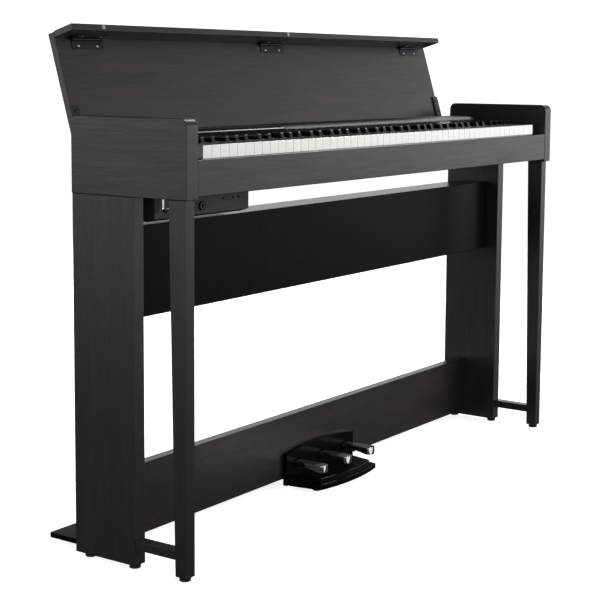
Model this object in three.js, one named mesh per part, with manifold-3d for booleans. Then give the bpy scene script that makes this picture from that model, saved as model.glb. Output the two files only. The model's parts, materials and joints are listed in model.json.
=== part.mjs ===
// A slim 88-key digital piano on its own stand, in millimetres.
// +Z is up, +X runs to the treble end and -Y faces the player.
// The origin is on the floor, under the middle of the piano.
// The lid is drawn closed and then turned open about its pivot, so every lid size is a closed size.
import * as THREE from "three";
import { mergeVertices } from "three/addons/utils/BufferGeometryUtils.js";
import Module from "manifold-3d";

// ---- driving dimensions -------------------------------------------------------------------
const gap = 0.3; // between pieces that touch
const overallDepth = 347;

const whiteCount = 52;
const keyPitch = 23.5;
const keyGap = 1; // between neighbouring keys
const movingWhites = 6; // whites at the bass end that are pieces of their own
const keyBlockWidth = 32.7; // cheek beside the last key
const keyTop = 724.8 - 770; // white key tops, from the top of the case
const whiteKeyDepth = 22.1;
const whiteKeyLength = 149.8; // the part in front of the fall
const blackKeyTop = 734 - 770;
const blackKeyLength = 98.5;
const blackFootWidth = 11.5;
const blackCrownWidth = 9.5;
const blackSideRoom = 1.25; // between a black key and the notches of its neighbours
const blackFrontSlope = 6;
const leverDepth = 9.3; // the thin part of a key under the top panel
const keyRailLength = 16;
const keyInset = 16.7; // from the front of the case to the front of the white keys

const sideTop = 770; // height of the closed piano
const sideHeight = 131.8;
const sideThickness = 29.3;
const sideCorner = 14;
const caseDepth = 253.6;

const bedThickness = 19;
const bedRaise = 5; // the key bed's underside, above the side boards' lower edge
const slipHeight = 59.5;
const slipThickness = 12.1;
const slipInset = 0.4;
const rearPanelThickness = 9;
const rearPanelInset = 0.8;
const topPanelThickness = 6;
const topPanelDrop = 30; // its surface, below the top of the side boards
const fallDrop = 6.5; // how far the rolled front edge of the top panel comes down
const fallDepth = 22;
const armSlot = 9.2; // at each end of the top and rear panels, where a lid arm passes
const controlPanelLength = 469.5;
const panelRuleGap = 0.5; // joint between the control panel and the top panel

const lidThickness = 13.9;
const lidEndClearance = 8.4; // lid to side board
const lidFrontInset = 2.7;
const lidOpenAngle = 106.74; // from closed to its stop
const lidPivotFromRear = 30.1;
const lidPivotBelowTop = 57.1;
const lidPinRadius = 4;
const lidPinClearance = 0.4;
const lidPinDepth = 7; // into the side board
const armThickness = 3;
const armWidth = 24;
const armFlangeWidth = 18;
const armFlangeLength = 100;
const flapThickness = 12;
const flapDepth = 45.1;
const flapFrontInset = 1.2;
const flapPanelGap = 0.4;
const flapBevel = 2;

const hingeLength = 80;
const hingeLeafWidth = 17;
const hingeLeafThickness = 1.2;
const hingeBarrelRadius = 2.5;
const hingePinRadius = 1.2;
const hingePinClearance = 0.35;
const hingeEndInset = 78; // middle of an outer hinge, from the lid's end
const hingeBarrelGap = 0.4;

const legThickness = 26.9;
const legInset = 3.7;
const legDepth = 137.2;
const legBehindCase = 2.1;
const postThickness = 22.9;
const postInset = 5.2;
const postFrontInset = 7;
const postTopDepth = 36.2;
const postBottomDepth = 24.2;
const footHeight = 7;
const footRadius = 10;
const frontFootInset = 11.5; // from a leg's front edge to its front foot
const rearFootInset = 23.5; // from a leg's rear edge to its rear foot
const stretcherHeight = 16.4;
const stretcherThickness = 21.4;
const stretcherInset = 4.6;
const stretcherBottom = 36;

const lowerBoardThickness = 20.6;
const lowerBoardHeight = 129.4;
const lowerBoardBottom = 20;
const lowerBoardFromRear = 54.5; // its front face, in front of the case's rear
const baseBoardThickness = 9.3;
const baseBoardBottom = 7.3;
const baseBoardCorner = 4;
const baseBoardBehindBoard = 6;

const speakerBoxHeight = 158.7;
const speakerBoxDepth = 72.2;
const speakerBoxBelowCase = 53.6; // its top, below the side boards
const speakerBoxWall = 9;
const speakerRadius = 52;
const speakerHoleRadius = 46;
const speakerSetting = 400; // from the middle to a speaker's axis
const speakerDepth = 34;

const jackBoxLength = 265;
const jackBoxFromLeg = 34;
const jackBoxHeight = 53;
const jackBoxFrontHeight = 47.5;
const jackBoxFrontFromLeg = 5; // its front, behind the leg's front edge
const jackBoxDepth = 70;
const jackBoxSlope = 17;
const jackRadius = 3.6;
const jackDepth = 16;
const jackRingRadius = 8;
const jackRingHeight = 2.5;
const jackSpacing = 24;
const jackFromBoxEnd = 104;
const jackBelowBed = 33.5;
const portWidth = 5;
const portHeight = 4;
const portOffsets = [188.5, 218, 234]; // from the jack box's left end
const portBelowBed = 22.5;
const inletFromBoxEnd = 205;
const hookRadius = 2.5;
const hookDrop = 29;
const hookReach = 11;
const hookFromBox = 7;
const hookFromBoxEnd = 13.5;

const pedalSpacing = 89;
const pedalWidth = 25;
const pedalNeckWidth = 20;
const pedalNoseDepth = 9; // the rounded end, in front of the straight sides
const pedalToeThickness = 15.5;
const pedalToeLength = 13; // from the tip, before the underside rises
const pedalRiseLength = 27;
const pedalThickness = 10;
const pedalTop = 55;
const pedalReach = 83.5; // from the lower board's front to a pedal's tip
const pedalAxleRadius = 3;
const pedalAxleClearance = 0.3;
const pedalAxleBehindFace = 10.5;
const pedalSlotRoom = 1.5;
const pedalPlateHalfWidth = 123.5;
const pedalPlateThickness = 9.5;
const pedalPlateBottom = 7;
const pedalPlateShoulder = 72;
const pedalPlateCrown = 82.5;
const pedalBoxWall = 3;
const pedalBoxHalfWidth = 106;
const pedalBoxBottom = 34;
const pedalBoxTop = 62;
const pedalBaseHalfFront = 104;
const pedalBaseHalfRear = 116;
const pedalBaseReach = 80; // its front corners, in front of the lower board
const pedalBaseBow = 12; // the curved front, past the corners
const pedalBaseBottom = 5;
const pedalBaseThickness = 12;
const pedalStepInset = 10;
const pedalStepHeight = 8;

const knobRadius = 8;
const knobHeight = 9;
const buttonRadius = 4.5;
const buttonHeight = 2.2;
const controlsRow = 32; // the knob and button, in front of the case's rear
const buttonFromEnd = 44;
const knobFromEnd = 94;
const controlRoom = 0.4; // round the stem of the knob and of the button
const boardLength = 320;
const boardHeight = 52;
const boardThickness = 1.6;

// ---- places worked out from them ----------------------------------------------------------
const front = -overallDepth / 2;
const rear = front + caseDepth;
const innerHalf = (whiteCount * keyPitch) / 2 + keyBlockWidth;
const outerHalf = innerHalf + sideThickness;
const sideBottom = sideTop - sideHeight;
const bedBottom = sideBottom + bedRaise;
const bedTop = bedBottom + bedThickness;
const slipTop = bedBottom + slipHeight;
const slipRear = front + slipInset + slipThickness;
const whiteTop = sideTop + keyTop;
const blackTop = sideTop + blackKeyTop;
const whiteFront = front + keyInset;
const fallFront = whiteFront + whiteKeyLength;
const blackFront = fallFront - blackKeyLength - 1.3;
const blackRear = fallFront - 1.3;
const whiteBottom = whiteTop - whiteKeyDepth;
const leverTop = whiteBottom + leverDepth;
const keyRear = rear - 36;
const keysHalf = (whiteCount * keyPitch) / 2;
const panelTop = sideTop - topPanelDrop;
const panelHalf = innerHalf - armSlot;
const rearPanelFront = rear - rearPanelInset - rearPanelThickness;
const lidHalf = innerHalf - lidEndClearance;
const lidUnder = sideTop - lidThickness;
const lidFront = front + lidFrontInset;
const pivotY = rear - lidPivotFromRear;
const pivotZ = sideTop - lidPivotBelowTop;
const flapFront = front + flapFrontInset;
const flapRear = flapFront + flapThickness;
const hingeReach = hingeBarrelRadius + gap;
const hingeY = flapRear + hingeReach;
const hingeZ = lidUnder - hingeReach;
const legOuter = outerHalf - legInset;
const legInner = legOuter - legThickness;
const legRear = rear + legBehindCase;
const legFront = legRear - legDepth;
const legTop = sideBottom - gap;
const postOuter = outerHalf - postInset;
const postFront = front + postFrontInset;
const boardFront = rear - lowerBoardFromRear;
const boardRear = boardFront + lowerBoardThickness;
const speakerTop = sideBottom - speakerBoxBelowCase;
const speakerBottom = speakerTop - speakerBoxHeight;
const speakerFront = boardRear - speakerBoxDepth;
const jackFront = legFront + jackBoxFrontFromLeg;
const jackLeft = -legInner + jackBoxFromLeg;
const axleY = boardFront + pedalAxleBehindFace;
const axleZ = pedalTop - pedalThickness / 2;

// ---- materials ----------------------------------------------------------------------------
const finish = (color, roughness, metalness = 0) =>
  new THREE.MeshStandardMaterial({ color, roughness, metalness });
const rosewood = finish(0x3a3032, 0.45);
const shadowWood = finish(0x1b191b, 0.55);
const cover = finish(0x44454a, 0.4);
const gloss = finish(0x0b0b0d, 0.12);
const charcoal = finish(0x3a3b3f, 0.6);
const blackMetal = finish(0x121214, 0.35, 0.8);
const chrome = finish(0xd6d6da, 0.12, 1);
const ivory = finish(0xecebe4, 0.3);
const ebony = finish(0x0d0d0f, 0.3);
const rubber = finish(0x161616, 0.8);
const circuit = finish(0x1c4a2c, 0.5);

// ---- shape helpers ------------------------------------------------------------------------
const wasm = await Module();
wasm.setup();

/** The solid inside a closed geometry. */
function solid(geometry) {
  const bare = geometry.clone();
  bare.deleteAttribute("normal");
  bare.deleteAttribute("uv");
  const merged = mergeVertices(bare, 1e-4);
  const mesh = new wasm.Mesh({
    numProp: 3,
    vertProperties: new Float32Array(merged.attributes.position.array),
    triVerts: new Uint32Array(merged.index.array),
  });
  return new wasm.Manifold(mesh);
}

/** The geometry round a solid. */
function skin(body) {
  const mesh = body.getMesh();
  const geometry = new THREE.BufferGeometry();
  geometry.setAttribute("position", new THREE.BufferAttribute(mesh.vertProperties, 3));
  geometry.setIndex(new THREE.BufferAttribute(mesh.triVerts, 1));
  geometry.computeVertexNormals();
  return geometry;
}

const join = (...pieces) => skin(pieces.map(solid).reduce((all, one) => all.add(one)));
const cut = (piece, ...tools) => skin(tools.reduce((left, tool) => left.subtract(solid(tool)), solid(piece)));

/** A box between two corners, given as low and high X, Y and Z. */
function box(x0, x1, y0, y1, z0, z1) {
  const geometry = new THREE.BoxGeometry(x1 - x0, y1 - y0, z1 - z0);
  return geometry.translate((x0 + x1) / 2, (y0 + y1) / 2, (z0 + z1) / 2);
}

const extrude = (shape, depth) =>
  new THREE.ExtrudeGeometry(shape, { depth, bevelEnabled: false, curveSegments: 6 });
const alongX = new THREE.Matrix4().set(0, 0, 1, 0, 1, 0, 0, 0, 0, 1, 0, 0, 0, 0, 0, 1);
const alongY = new THREE.Matrix4().set(1, 0, 0, 0, 0, 0, -1, 0, 0, 1, 0, 0, 0, 0, 0, 1);

/** A (Y, Z) outline carried along X from x0 to x1. */
const profileX = (shape, x0, x1) => extrude(shape, x1 - x0).applyMatrix4(alongX).translate(x0, 0, 0);
/** An (X, Z) outline carried along Y from y0 to y1. */
const profileY = (shape, y0, y1) => extrude(shape, y1 - y0).applyMatrix4(alongY).translate(0, y1, 0);
/** An (X, Y) outline carried along Z from z0 to z1. */
const profileZ = (shape, z0, z1) => extrude(shape, z1 - z0).translate(0, 0, z0);

const outline = (...points) => new THREE.Shape(points.map(([u, v]) => new THREE.Vector2(u, v)));

/** A rectangle whose four corners may each be round; radii run from the low corner anticlockwise. */
function roundedRectangle(u0, v0, u1, v1, radii) {
  const shape = new THREE.Shape();
  const centres = [[u0, v0, 1, 1], [u1, v0, -1, 1], [u1, v1, -1, -1], [u0, v1, 1, -1]];
  centres.forEach(([u, v, du, dv], corner) => {
    const r = radii[corner];
    const start = Math.PI + (corner * Math.PI) / 2;
    if (r > 0) shape.absarc(u + du * r, v + dv * r, r, start, start + Math.PI / 2);
    else if (corner === 0) shape.moveTo(u, v);
    else shape.lineTo(u, v);
  });
  return shape;
}

/** A round bar of radius r, centred on a point and running along one axis. */
function rod(axis, x, y, z, r, length, sides = 24) {
  const geometry = new THREE.CylinderGeometry(r, r, length, sides);
  if (axis === "x") geometry.rotateZ(Math.PI / 2);
  if (axis === "z") geometry.rotateX(Math.PI / 2);
  return geometry.translate(x, y, z);
}

/** A solid of revolution about Z, from [radius, height] points that close on the axis. */
function turned(points, sides = 24) {
  const profile = points.map(([r, h]) => new THREE.Vector2(r, h));
  return new THREE.LatheGeometry(profile, sides).rotateX(Math.PI / 2);
}

const model = new THREE.Group();

/** Adds one named piece to a group. */
function add(name, geometry, material, group = model) {
  const mesh = new THREE.Mesh(geometry, material);
  mesh.name = name;
  group.add(mesh);
  return mesh;
}

const sides = [["left", -1], ["right", 1]];
/** Low and high X of a piece that lies between two distances from the middle, on one side. */
const span = (side, inner, outer) => (side < 0 ? [-outer, -inner] : [inner, outer]);

// ---- case ---------------------------------------------------------------------------------
for (const [name, side] of sides) {
  const [x0, x1] = span(side, innerHalf, outerHalf);
  const corners = [0, 0, sideCorner, sideCorner];
  const board = profileX(roundedRectangle(front, sideBottom, rear, sideTop, corners), x0, x1);
  const boreDepth = lidPinDepth + gap;
  const bore = rod("x", side * (innerHalf + boreDepth / 2 - 1), pivotY, pivotZ,
    lidPinRadius + lidPinClearance, boreDepth + 2);
  add(`${name}_side_board`, cut(board, bore), rosewood);
}

add("key_bed", box(gap - innerHalf, innerHalf - gap, slipRear + gap, rearPanelFront + rearPanelThickness,
  bedBottom, bedTop), shadowWood);
add("key_slip", profileX(roundedRectangle(front + slipInset, bedBottom, slipRear, slipTop, [0, 0, 1.5, 1.5]),
  gap - innerHalf, innerHalf - gap), rosewood);
add("rear_panel", box(-panelHalf, panelHalf, rearPanelFront, rearPanelFront + rearPanelThickness,
  bedTop + gap, panelTop - topPanelThickness - gap), shadowWood);

/** The section of the top panel: flat behind, with a front edge that rolls down to the keys. */
function topPanelSection() {
  const shape = new THREE.Shape();
  const under = panelTop - topPanelThickness;
  const lip = panelTop - fallDrop;
  shape.moveTo(rear - rearPanelInset, under);
  shape.lineTo(rear - rearPanelInset, panelTop);
  shape.lineTo(fallFront + fallDepth, panelTop);
  shape.quadraticCurveTo(fallFront + fallDepth / 3, panelTop, fallFront, lip);
  shape.lineTo(fallFront, lip - topPanelThickness);
  shape.quadraticCurveTo(fallFront + fallDepth / 3, under, fallFront + fallDepth, under);
  shape.closePath();
  return shape;
}

const panelSplit = -panelHalf + controlPanelLength;
const buttonX = -panelHalf + buttonFromEnd;
const knobX = -panelHalf + knobFromEnd;
const controlsY = rear - controlsRow;
const knobStemRadius = knobRadius / 2;
const stemDepth = topPanelThickness + 3; // through the panel
const stemZ = panelTop - topPanelThickness / 2;
add("top_panel", profileX(topPanelSection(), panelSplit + panelRuleGap, panelHalf), cover);
add("control_panel", cut(
  profileX(topPanelSection(), -panelHalf, panelSplit),
  rod("z", knobX, controlsY, stemZ, knobStemRadius + controlRoom, stemDepth + 2),
  rod("z", buttonX, controlsY, stemZ, buttonRadius + controlRoom, stemDepth + 2),
), gloss);

const knob = turned([[0, -stemDepth], [knobStemRadius, -stemDepth], [knobStemRadius, gap],
  [knobRadius, gap], [knobRadius, knobHeight - 1], [knobRadius - 1, knobHeight], [0, knobHeight]]);
add("volume_knob", knob, gloss).position.set(knobX, controlsY, panelTop);
const button = turned([[0, -stemDepth], [buttonRadius, -stemDepth], [buttonRadius, buttonHeight - 0.5],
  [buttonRadius - 0.5, buttonHeight], [0, buttonHeight]]);
add("power_button", button, gloss).position.set(buttonX, controlsY, panelTop);

for (const [name, side] of sides) {
  const [x0, x1] = span(side, keysHalf + keyGap, innerHalf - gap);
  add(`${name}_key_block`, box(x0, x1, whiteFront, fallFront - gap, bedTop + gap, whiteTop + 1), ebony);
}

/** The key frame's section: a floor, a front stop under the keys and a rear rail they pivot on. */
function keyFrameSection() {
  const floor = bedTop + gap;
  const floorTop = floor + 5;
  const stopFront = whiteFront + 8;
  const stopRear = stopFront + 20;
  const stopTop = whiteBottom - 11;
  const railFront = keyRear - 4;
  const railTop = whiteBottom - 0.5;
  const railRear = Math.min(keyRear + 12, rearPanelFront - 6);
  return outline([stopFront, floor], [railRear, floor], [railRear, railTop], [railFront, railTop],
    [railFront, floorTop], [stopRear, floorTop], [stopRear, stopTop], [stopFront, stopTop]);
}
add("key_frame", profileX(keyFrameSection(), -keysHalf, keysHalf), charcoal);
add("circuit_board", box(-boardLength / 2, boardLength / 2, rearPanelFront - gap - boardThickness,
  rearPanelFront - gap, bedTop + 6, bedTop + 6 + boardHeight), circuit);

// ---- keyboard -----------------------------------------------------------------------------
const letters = ["a", "b", "c", "d", "e", "f", "g"];
const sharpShift = { a: 4, c: -2.8, d: 2.8, f: -4, g: 0 }; // from the joint between the two whites
const octave = (index) => Math.floor((index + 5) / 7);
const whiteLeft = (index) => -keysHalf + index * keyPitch;

/** The middle of the black key to the right of a white one, or null where there is none. */
function sharpCentre(index) {
  const shift = sharpShift[letters[index % 7]];
  const missing = shift === undefined || index < 0 || index >= whiteCount - 1;
  return missing ? null : whiteLeft(index + 1) + shift;
}

/** The four X values of a white key: its wide front, and its tail between the black keys. */
function whiteWidths(index) {
  const x0 = whiteLeft(index) + keyGap / 2;
  const x1 = whiteLeft(index + 1) - keyGap / 2;
  const reach = blackFootWidth / 2 + blackSideRoom;
  const before = sharpCentre(index - 1);
  const after = sharpCentre(index);
  const tail0 = before === null ? x0 : before + reach;
  const tail1 = after === null ? x1 : after - reach;
  return [x0, x1, tail0, tail1];
}

const notchFront = blackFront - 1.5;
/** The cutter that thins white keys where they run under the top panel. */
const underPanel = (x0, x1) => box(x0 - 1, x1 + 1, fallFront + 3, keyRear + 1, leverTop, whiteTop + 1);

/** One white key on its own. */
function whiteKey(index) {
  const [x0, x1, tail0, tail1] = whiteWidths(index);
  const plan = outline([x0, whiteFront], [x1, whiteFront], [x1, notchFront], [tail1, notchFront],
    [tail1, keyRear], [tail0, keyRear], [tail0, notchFront], [x0, notchFront]);
  return cut(profileZ(plan, whiteBottom, whiteTop), underPanel(x0, x1));
}

/** White keys joined by a rail at their rear ends. */
function whiteComb(first, last) {
  const railFront = keyRear - keyRailLength;
  const points = [[whiteWidths(first)[2], keyRear]];
  for (let index = first; index <= last; index += 1) {
    const [x0, x1, tail0, tail1] = whiteWidths(index);
    if (index > first) points.push([tail0, railFront]);
    points.push([tail0, notchFront], [x0, notchFront], [x0, whiteFront]);
    points.push([x1, whiteFront], [x1, notchFront], [tail1, notchFront]);
    if (index < last) points.push([tail1, railFront]);
  }
  points.push([whiteWidths(last)[3], keyRear]);
  const repeats = ([x, y], at) => at > 0 && x === points[at - 1][0] && y === points[at - 1][1];
  const distinct = points.filter((point, at) => !repeats(point, at));
  const comb = profileZ(outline(...distinct.reverse()), whiteBottom, whiteTop);
  return cut(comb, underPanel(whiteLeft(first), whiteLeft(last + 1)));
}

const blackBottom = leverTop + 1;
const blackLeverTop = whiteTop - 2;
/** One black key: a crown that narrows upwards, and the lever behind it. */
function blackKey(index) {
  const x = sharpCentre(index);
  const foot = blackFootWidth / 2;
  const crown = blackCrownWidth / 2;
  const sectionOf = (half) => outline([-half, 0], [half, 0], [half, 1], [-half, 1]);
  const cap = extrude(sectionOf(1), 1).applyMatrix4(alongY);
  const place = cap.attributes.position;
  for (let at = 0; at < place.count; at += 1) {
    const high = place.getZ(at) > 0.5;
    const atFront = place.getY(at) < -0.5;
    const half = high ? crown : foot;
    const slope = high ? blackFrontSlope : 0;
    place.setXYZ(at, x + Math.sign(place.getX(at)) * half, atFront ? blackFront + slope : blackRear,
      high ? blackTop : blackBottom);
  }
  const lever = box(x - crown + 0.5, x + crown - 0.5, blackRear - 2, keyRear, blackBottom, blackLeverTop);
  return join(cap, lever);
}

/** Black keys joined by a rail over the tails of the whites. */
function blackComb(indices) {
  const railFront = keyRear - keyRailLength;
  const x0 = sharpCentre(indices[0]) - 2;
  const x1 = sharpCentre(indices.at(-1)) + 2;
  const rail = box(x0, x1, railFront, keyRear - 1, blackBottom + 0.5, blackLeverTop - 0.5);
  return join(rail, ...indices.map(blackKey));
}

const hasSharp = (index) => sharpCentre(index) !== null;
const whites = [...Array(whiteCount).keys()];
for (const index of whites.slice(0, movingWhites)) {
  const note = `${letters[index % 7]}`;
  add(`key_${note}${octave(index)}`, whiteKey(index), ivory);
  if (hasSharp(index)) add(`key_${note}_sharp${octave(index)}`, blackKey(index), ebony);
}
add("white_keys", whiteComb(movingWhites, whiteCount - 1), ivory);
add("black_keys", blackComb(whites.slice(movingWhites).filter(hasSharp)), ebony);

// ---- lid ----------------------------------------------------------------------------------
const lid = new THREE.Group();
lid.position.set(0, pivotY, pivotZ);
lid.rotation.x = THREE.MathUtils.degToRad(-lidOpenAngle);
model.add(lid);
/** Adds a piece drawn where it lies with the lid closed. */
const addToLid = (name, geometry, material) =>
  add(name, geometry.translate(0, -pivotY, -pivotZ), material, lid);

addToLid("lid_panel", profileX(roundedRectangle(lidFront, lidUnder, rear, sideTop, [0, 1.5, 1.5, 1.5]),
  -lidHalf, lidHalf), rosewood);
const flapTop = lidUnder - flapPanelGap;
const flapSection = outline([flapFront, flapTop - flapDepth], [flapRear, flapTop - flapDepth],
  [flapRear, flapTop], [flapFront + flapBevel, flapTop], [flapFront, flapTop - flapBevel]);
addToLid("lid_flap", profileX(flapSection, -lidHalf, lidHalf), rosewood);

for (const [name, side] of sides) {
  const [plate0, plate1] = span(side, lidHalf + 0.5, lidHalf + 0.5 + armThickness);
  const [flange0, flange1] = span(side, lidHalf - armFlangeWidth, lidHalf + 0.5 + armThickness);
  const flangeTop = lidUnder - gap;
  const flangeRear = pivotY + armWidth / 2;
  const flange = box(flange0, flange1, flangeRear - armFlangeLength, flangeRear,
    flangeTop - armThickness, flangeTop);
  const strip = profileX(roundedRectangle(pivotY - armWidth / 2, pivotZ - armWidth / 2, flangeRear,
    flangeTop - 1, [armWidth / 2 - 0.01, armWidth / 2 - 0.01, 0, 0]), plate0, plate1);
  const pinEnd = innerHalf + lidPinDepth;
  const pinStart = lidHalf + 1;
  const pin = rod("x", (side * (pinStart + pinEnd)) / 2, pivotY, pivotZ, lidPinRadius, pinEnd - pinStart);
  addToLid(`${name}_lid_arm`, join(flange, strip, pin), blackMetal);
}

const hingePlaces = [["left", -(lidHalf - hingeEndInset)], ["middle", 0], ["right", lidHalf - hingeEndInset]];
for (const [name, x] of hingePlaces) {
  const half = hingeLength / 2;
  const middle = hingeLength / 6; // half of the barrel that turns with the flap
  const leafZ = lidUnder - gap;
  const leafY = flapRear + gap;
  const barrel = (x0, x1, r) => rod("x", (x0 + x1) / 2, hingeY, hingeZ, r, x1 - x0, 16);
  const lidLeaf = box(x - half, x + half, hingeY, hingeY + hingeLeafWidth, leafZ - hingeLeafThickness, leafZ);
  const knuckleRoom = box(x - middle - hingeBarrelGap, x + middle + hingeBarrelGap,
    hingeY - hingeReach, hingeY + hingeBarrelRadius + hingeBarrelGap, hingeZ - hingeReach, leafZ + 1);
  const lidSide = join(lidLeaf, barrel(x - half, x - middle, hingeBarrelRadius),
    barrel(x + middle, x + half, hingeBarrelRadius));
  addToLid(`${name}_hinge_lid_leaf`, cut(lidSide, knuckleRoom,
    barrel(x - half - 1, x + half + 1, hingePinRadius + hingePinClearance)), blackMetal);
  const flapLeafPlate = box(x - half, x + half, leafY, leafY + hingeLeafThickness,
    hingeZ - hingeLeafWidth, hingeZ - hingeBarrelRadius - hingeBarrelGap);
  const neck = box(x - middle, x + middle, leafY, leafY + hingeLeafThickness,
    hingeZ - hingeLeafWidth / 2, hingeZ);
  const flapSide = join(flapLeafPlate, neck, barrel(x - middle, x + middle, hingeBarrelRadius),
    barrel(x - half, x + half, hingePinRadius));
  addToLid(`${name}_hinge_flap_leaf`, flapSide, blackMetal);
}

// ---- stand --------------------------------------------------------------------------------
const foot = turned([[0, 0], [footRadius - 1, 0], [footRadius, 1], [footRadius, footHeight - gap],
  [0, footHeight - gap]]);
for (const [name, side] of sides) {
  const [leg0, leg1] = span(side, legInner, legOuter);
  add(`${name}_leg`, box(leg0, leg1, legFront, legRear, footHeight, legTop), rosewood);
  const [post0, post1] = span(side, postOuter - postThickness, postOuter);
  const postSection = outline([postFront, footHeight], [postFront + postBottomDepth, footHeight],
    [postFront + postTopDepth, legTop], [postFront, legTop]);
  add(`${name}_front_post`, profileX(postSection, post0, post1), rosewood);

  const rise = (z) => (z - footHeight) / (legTop - footHeight);
  const postRear = (z) => postFront + postBottomDepth + (postTopDepth - postBottomDepth) * rise(z);
  const stretcherTop = stretcherBottom + stretcherHeight;
  const barOuter = outerHalf - stretcherInset;
  const [bar0, bar1] = span(side, barOuter - stretcherThickness, barOuter);
  const barSection = outline([postRear(stretcherBottom) + gap, stretcherBottom],
    [legFront - gap, stretcherBottom], [legFront - gap, stretcherTop],
    [postRear(stretcherTop) + gap, stretcherTop]);
  add(`${name}_stretcher`, profileX(barSection, bar0, bar1), rosewood);

  const feet = [
    ["leg_front_foot", (leg0 + leg1) / 2, legFront + frontFootInset],
    ["leg_rear_foot", (leg0 + leg1) / 2, legRear - rearFootInset],
    ["post_foot", (post0 + post1) / 2, postFront + postBottomDepth / 2],
  ];
  for (const [label, x, y] of feet) {
    add(`${name}_${label}`, foot.clone(), rubber).position.set(x, y, 0);
  }
}

const boardHalf = legInner - gap;
const boxRoom = 0.5; // round the pedal box in the lower board
add("lower_back_board", cut(
  box(-boardHalf, boardHalf, boardFront, boardRear, lowerBoardBottom, lowerBoardBottom + lowerBoardHeight),
  box(-pedalBoxHalfWidth - boxRoom, pedalBoxHalfWidth + boxRoom, boardFront - 1, boardRear + 1,
    pedalBoxBottom - boxRoom, pedalBoxTop + boxRoom),
), rosewood);
add("rear_base_board", profileZ(roundedRectangle(-boardHalf, boardRear + baseBoardBehindBoard, boardHalf,
  overallDepth / 2, [0, 0, baseBoardCorner, baseBoardCorner]), baseBoardBottom,
baseBoardBottom + baseBoardThickness), shadowWood);

// ---- speaker box --------------------------------------------------------------------------
const speakerZ = (speakerTop + speakerBottom) / 2;
const speakerShell = cut(
  box(-boardHalf, boardHalf, speakerFront, boardRear, speakerBottom, speakerTop),
  box(-boardHalf + speakerBoxWall, boardHalf - speakerBoxWall, speakerFront + speakerBoxWall,
    boardRear - speakerBoxWall, speakerBottom + speakerBoxWall, speakerTop - speakerBoxWall),
  ...sides.map(([, side]) => rod("y", side * speakerSetting, boardRear, speakerZ, speakerHoleRadius,
    4 * speakerBoxWall, 32)),
);
add("speaker_box", speakerShell, shadowWood);
for (const [name, side] of sides) {
  const magnet = speakerHoleRadius / 2;
  const basket = speakerHoleRadius - 1;
  const driver = turned([[0, -speakerDepth], [magnet, -speakerDepth], [magnet, 12 - speakerDepth],
    [basket, -speakerBoxWall], [basket, gap], [speakerRadius, gap], [speakerRadius, 3],
    [basket - 3, 3], [basket - 8, 1], [magnet, -14], [magnet / 2, -10], [0, -9]], 32);
  const placed = add(`${name}_speaker`, driver, ebony);
  placed.rotation.x = -Math.PI / 2; // its cone faces the rear
  placed.position.set(side * speakerSetting, boardRear, speakerZ);
}

// ---- jack box, under the bass end of the key bed ------------------------------------------
const jackTop = bedBottom - gap;
const jackBottom = jackTop - jackBoxHeight;
const jackRight = jackLeft + jackBoxLength;
const jackRear = jackFront + jackBoxDepth;
const jackZ = bedBottom - jackBelowBed;
const jackX = [0, 1].map((at) => jackLeft + jackFromBoxEnd + at * jackSpacing);
const jackSection = outline([jackFront, jackTop - jackBoxFrontHeight], [jackFront + jackBoxSlope, jackBottom],
  [jackRear, jackBottom], [jackRear, jackTop], [jackFront, jackTop]);
const rings = jackX.map((x) => rod("y", x, jackFront - jackRingHeight / 2 + 0.5, jackZ, jackRingRadius,
  jackRingHeight + 1));
const sockets = jackX.map((x) => rod("y", x, jackFront + jackDepth / 2 - jackRingHeight, jackZ, jackRadius,
  jackDepth + 2));
const portTop = bedBottom - portBelowBed;
const ports = portOffsets.map((offset) => jackLeft + offset).map((x) =>
  box(x - portWidth / 2, x + portWidth / 2, jackFront - 1, jackFront + 6, portTop - portHeight, portTop));
const inletY = jackRear - jackDepth / 2 + 1;
const inlet = rod("y", jackLeft + inletFromBoxEnd, inletY, jackZ, jackRadius, jackDepth + 2);
add("jack_box", skin([...sockets, ...ports, inlet].reduce((body, tool) => body.subtract(solid(tool)),
  solid(join(profileX(jackSection, jackLeft, jackRight), ...rings)))), charcoal);

/** A wire that drops from the key bed, turns forward and ends in a short upturn. */
class HookPath extends THREE.Curve {
  getPoint(t, target = new THREE.Vector3()) {
    const bend = hookReach / 2;
    const straight = hookDrop;
    const total = straight + Math.PI * bend;
    const along = t * total;
    if (along <= straight) return target.set(0, 0, -along);
    const angle = (along - straight) / bend;
    return target.set(0, -bend * (1 - Math.cos(angle)), -straight - bend * Math.sin(angle));
  }
}
const hookOutline = new THREE.Shape().absarc(0, 0, hookRadius, 0, 2 * Math.PI);
const hook = new THREE.ExtrudeGeometry(hookOutline,
  { steps: 24, extrudePath: new HookPath(), curveSegments: 5 });
add("headphone_hook", hook, chrome).position.set(jackLeft + hookFromBoxEnd,
  jackFront - hookFromBox, bedBottom - gap);

// ---- pedals -------------------------------------------------------------------------------
const pedalX = [["left", -pedalSpacing], ["middle", 0], ["right", pedalSpacing]];
const plateRear = boardFront - gap;
const plateFront = plateRear - pedalPlateThickness;

/** The arched outline of the pedal plate, in X and Z. */
function archShape() {
  const shape = new THREE.Shape();
  const rise = pedalPlateCrown - pedalPlateShoulder;
  const radius = (pedalPlateHalfWidth ** 2 + rise ** 2) / (2 * rise);
  const reach = Math.asin(pedalPlateHalfWidth / radius);
  shape.moveTo(-pedalPlateHalfWidth, pedalPlateBottom);
  shape.lineTo(pedalPlateHalfWidth, pedalPlateBottom);
  shape.absarc(0, pedalPlateCrown - radius, radius, Math.PI / 2 - reach, Math.PI / 2 + reach);
  shape.closePath();
  return shape;
}

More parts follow.
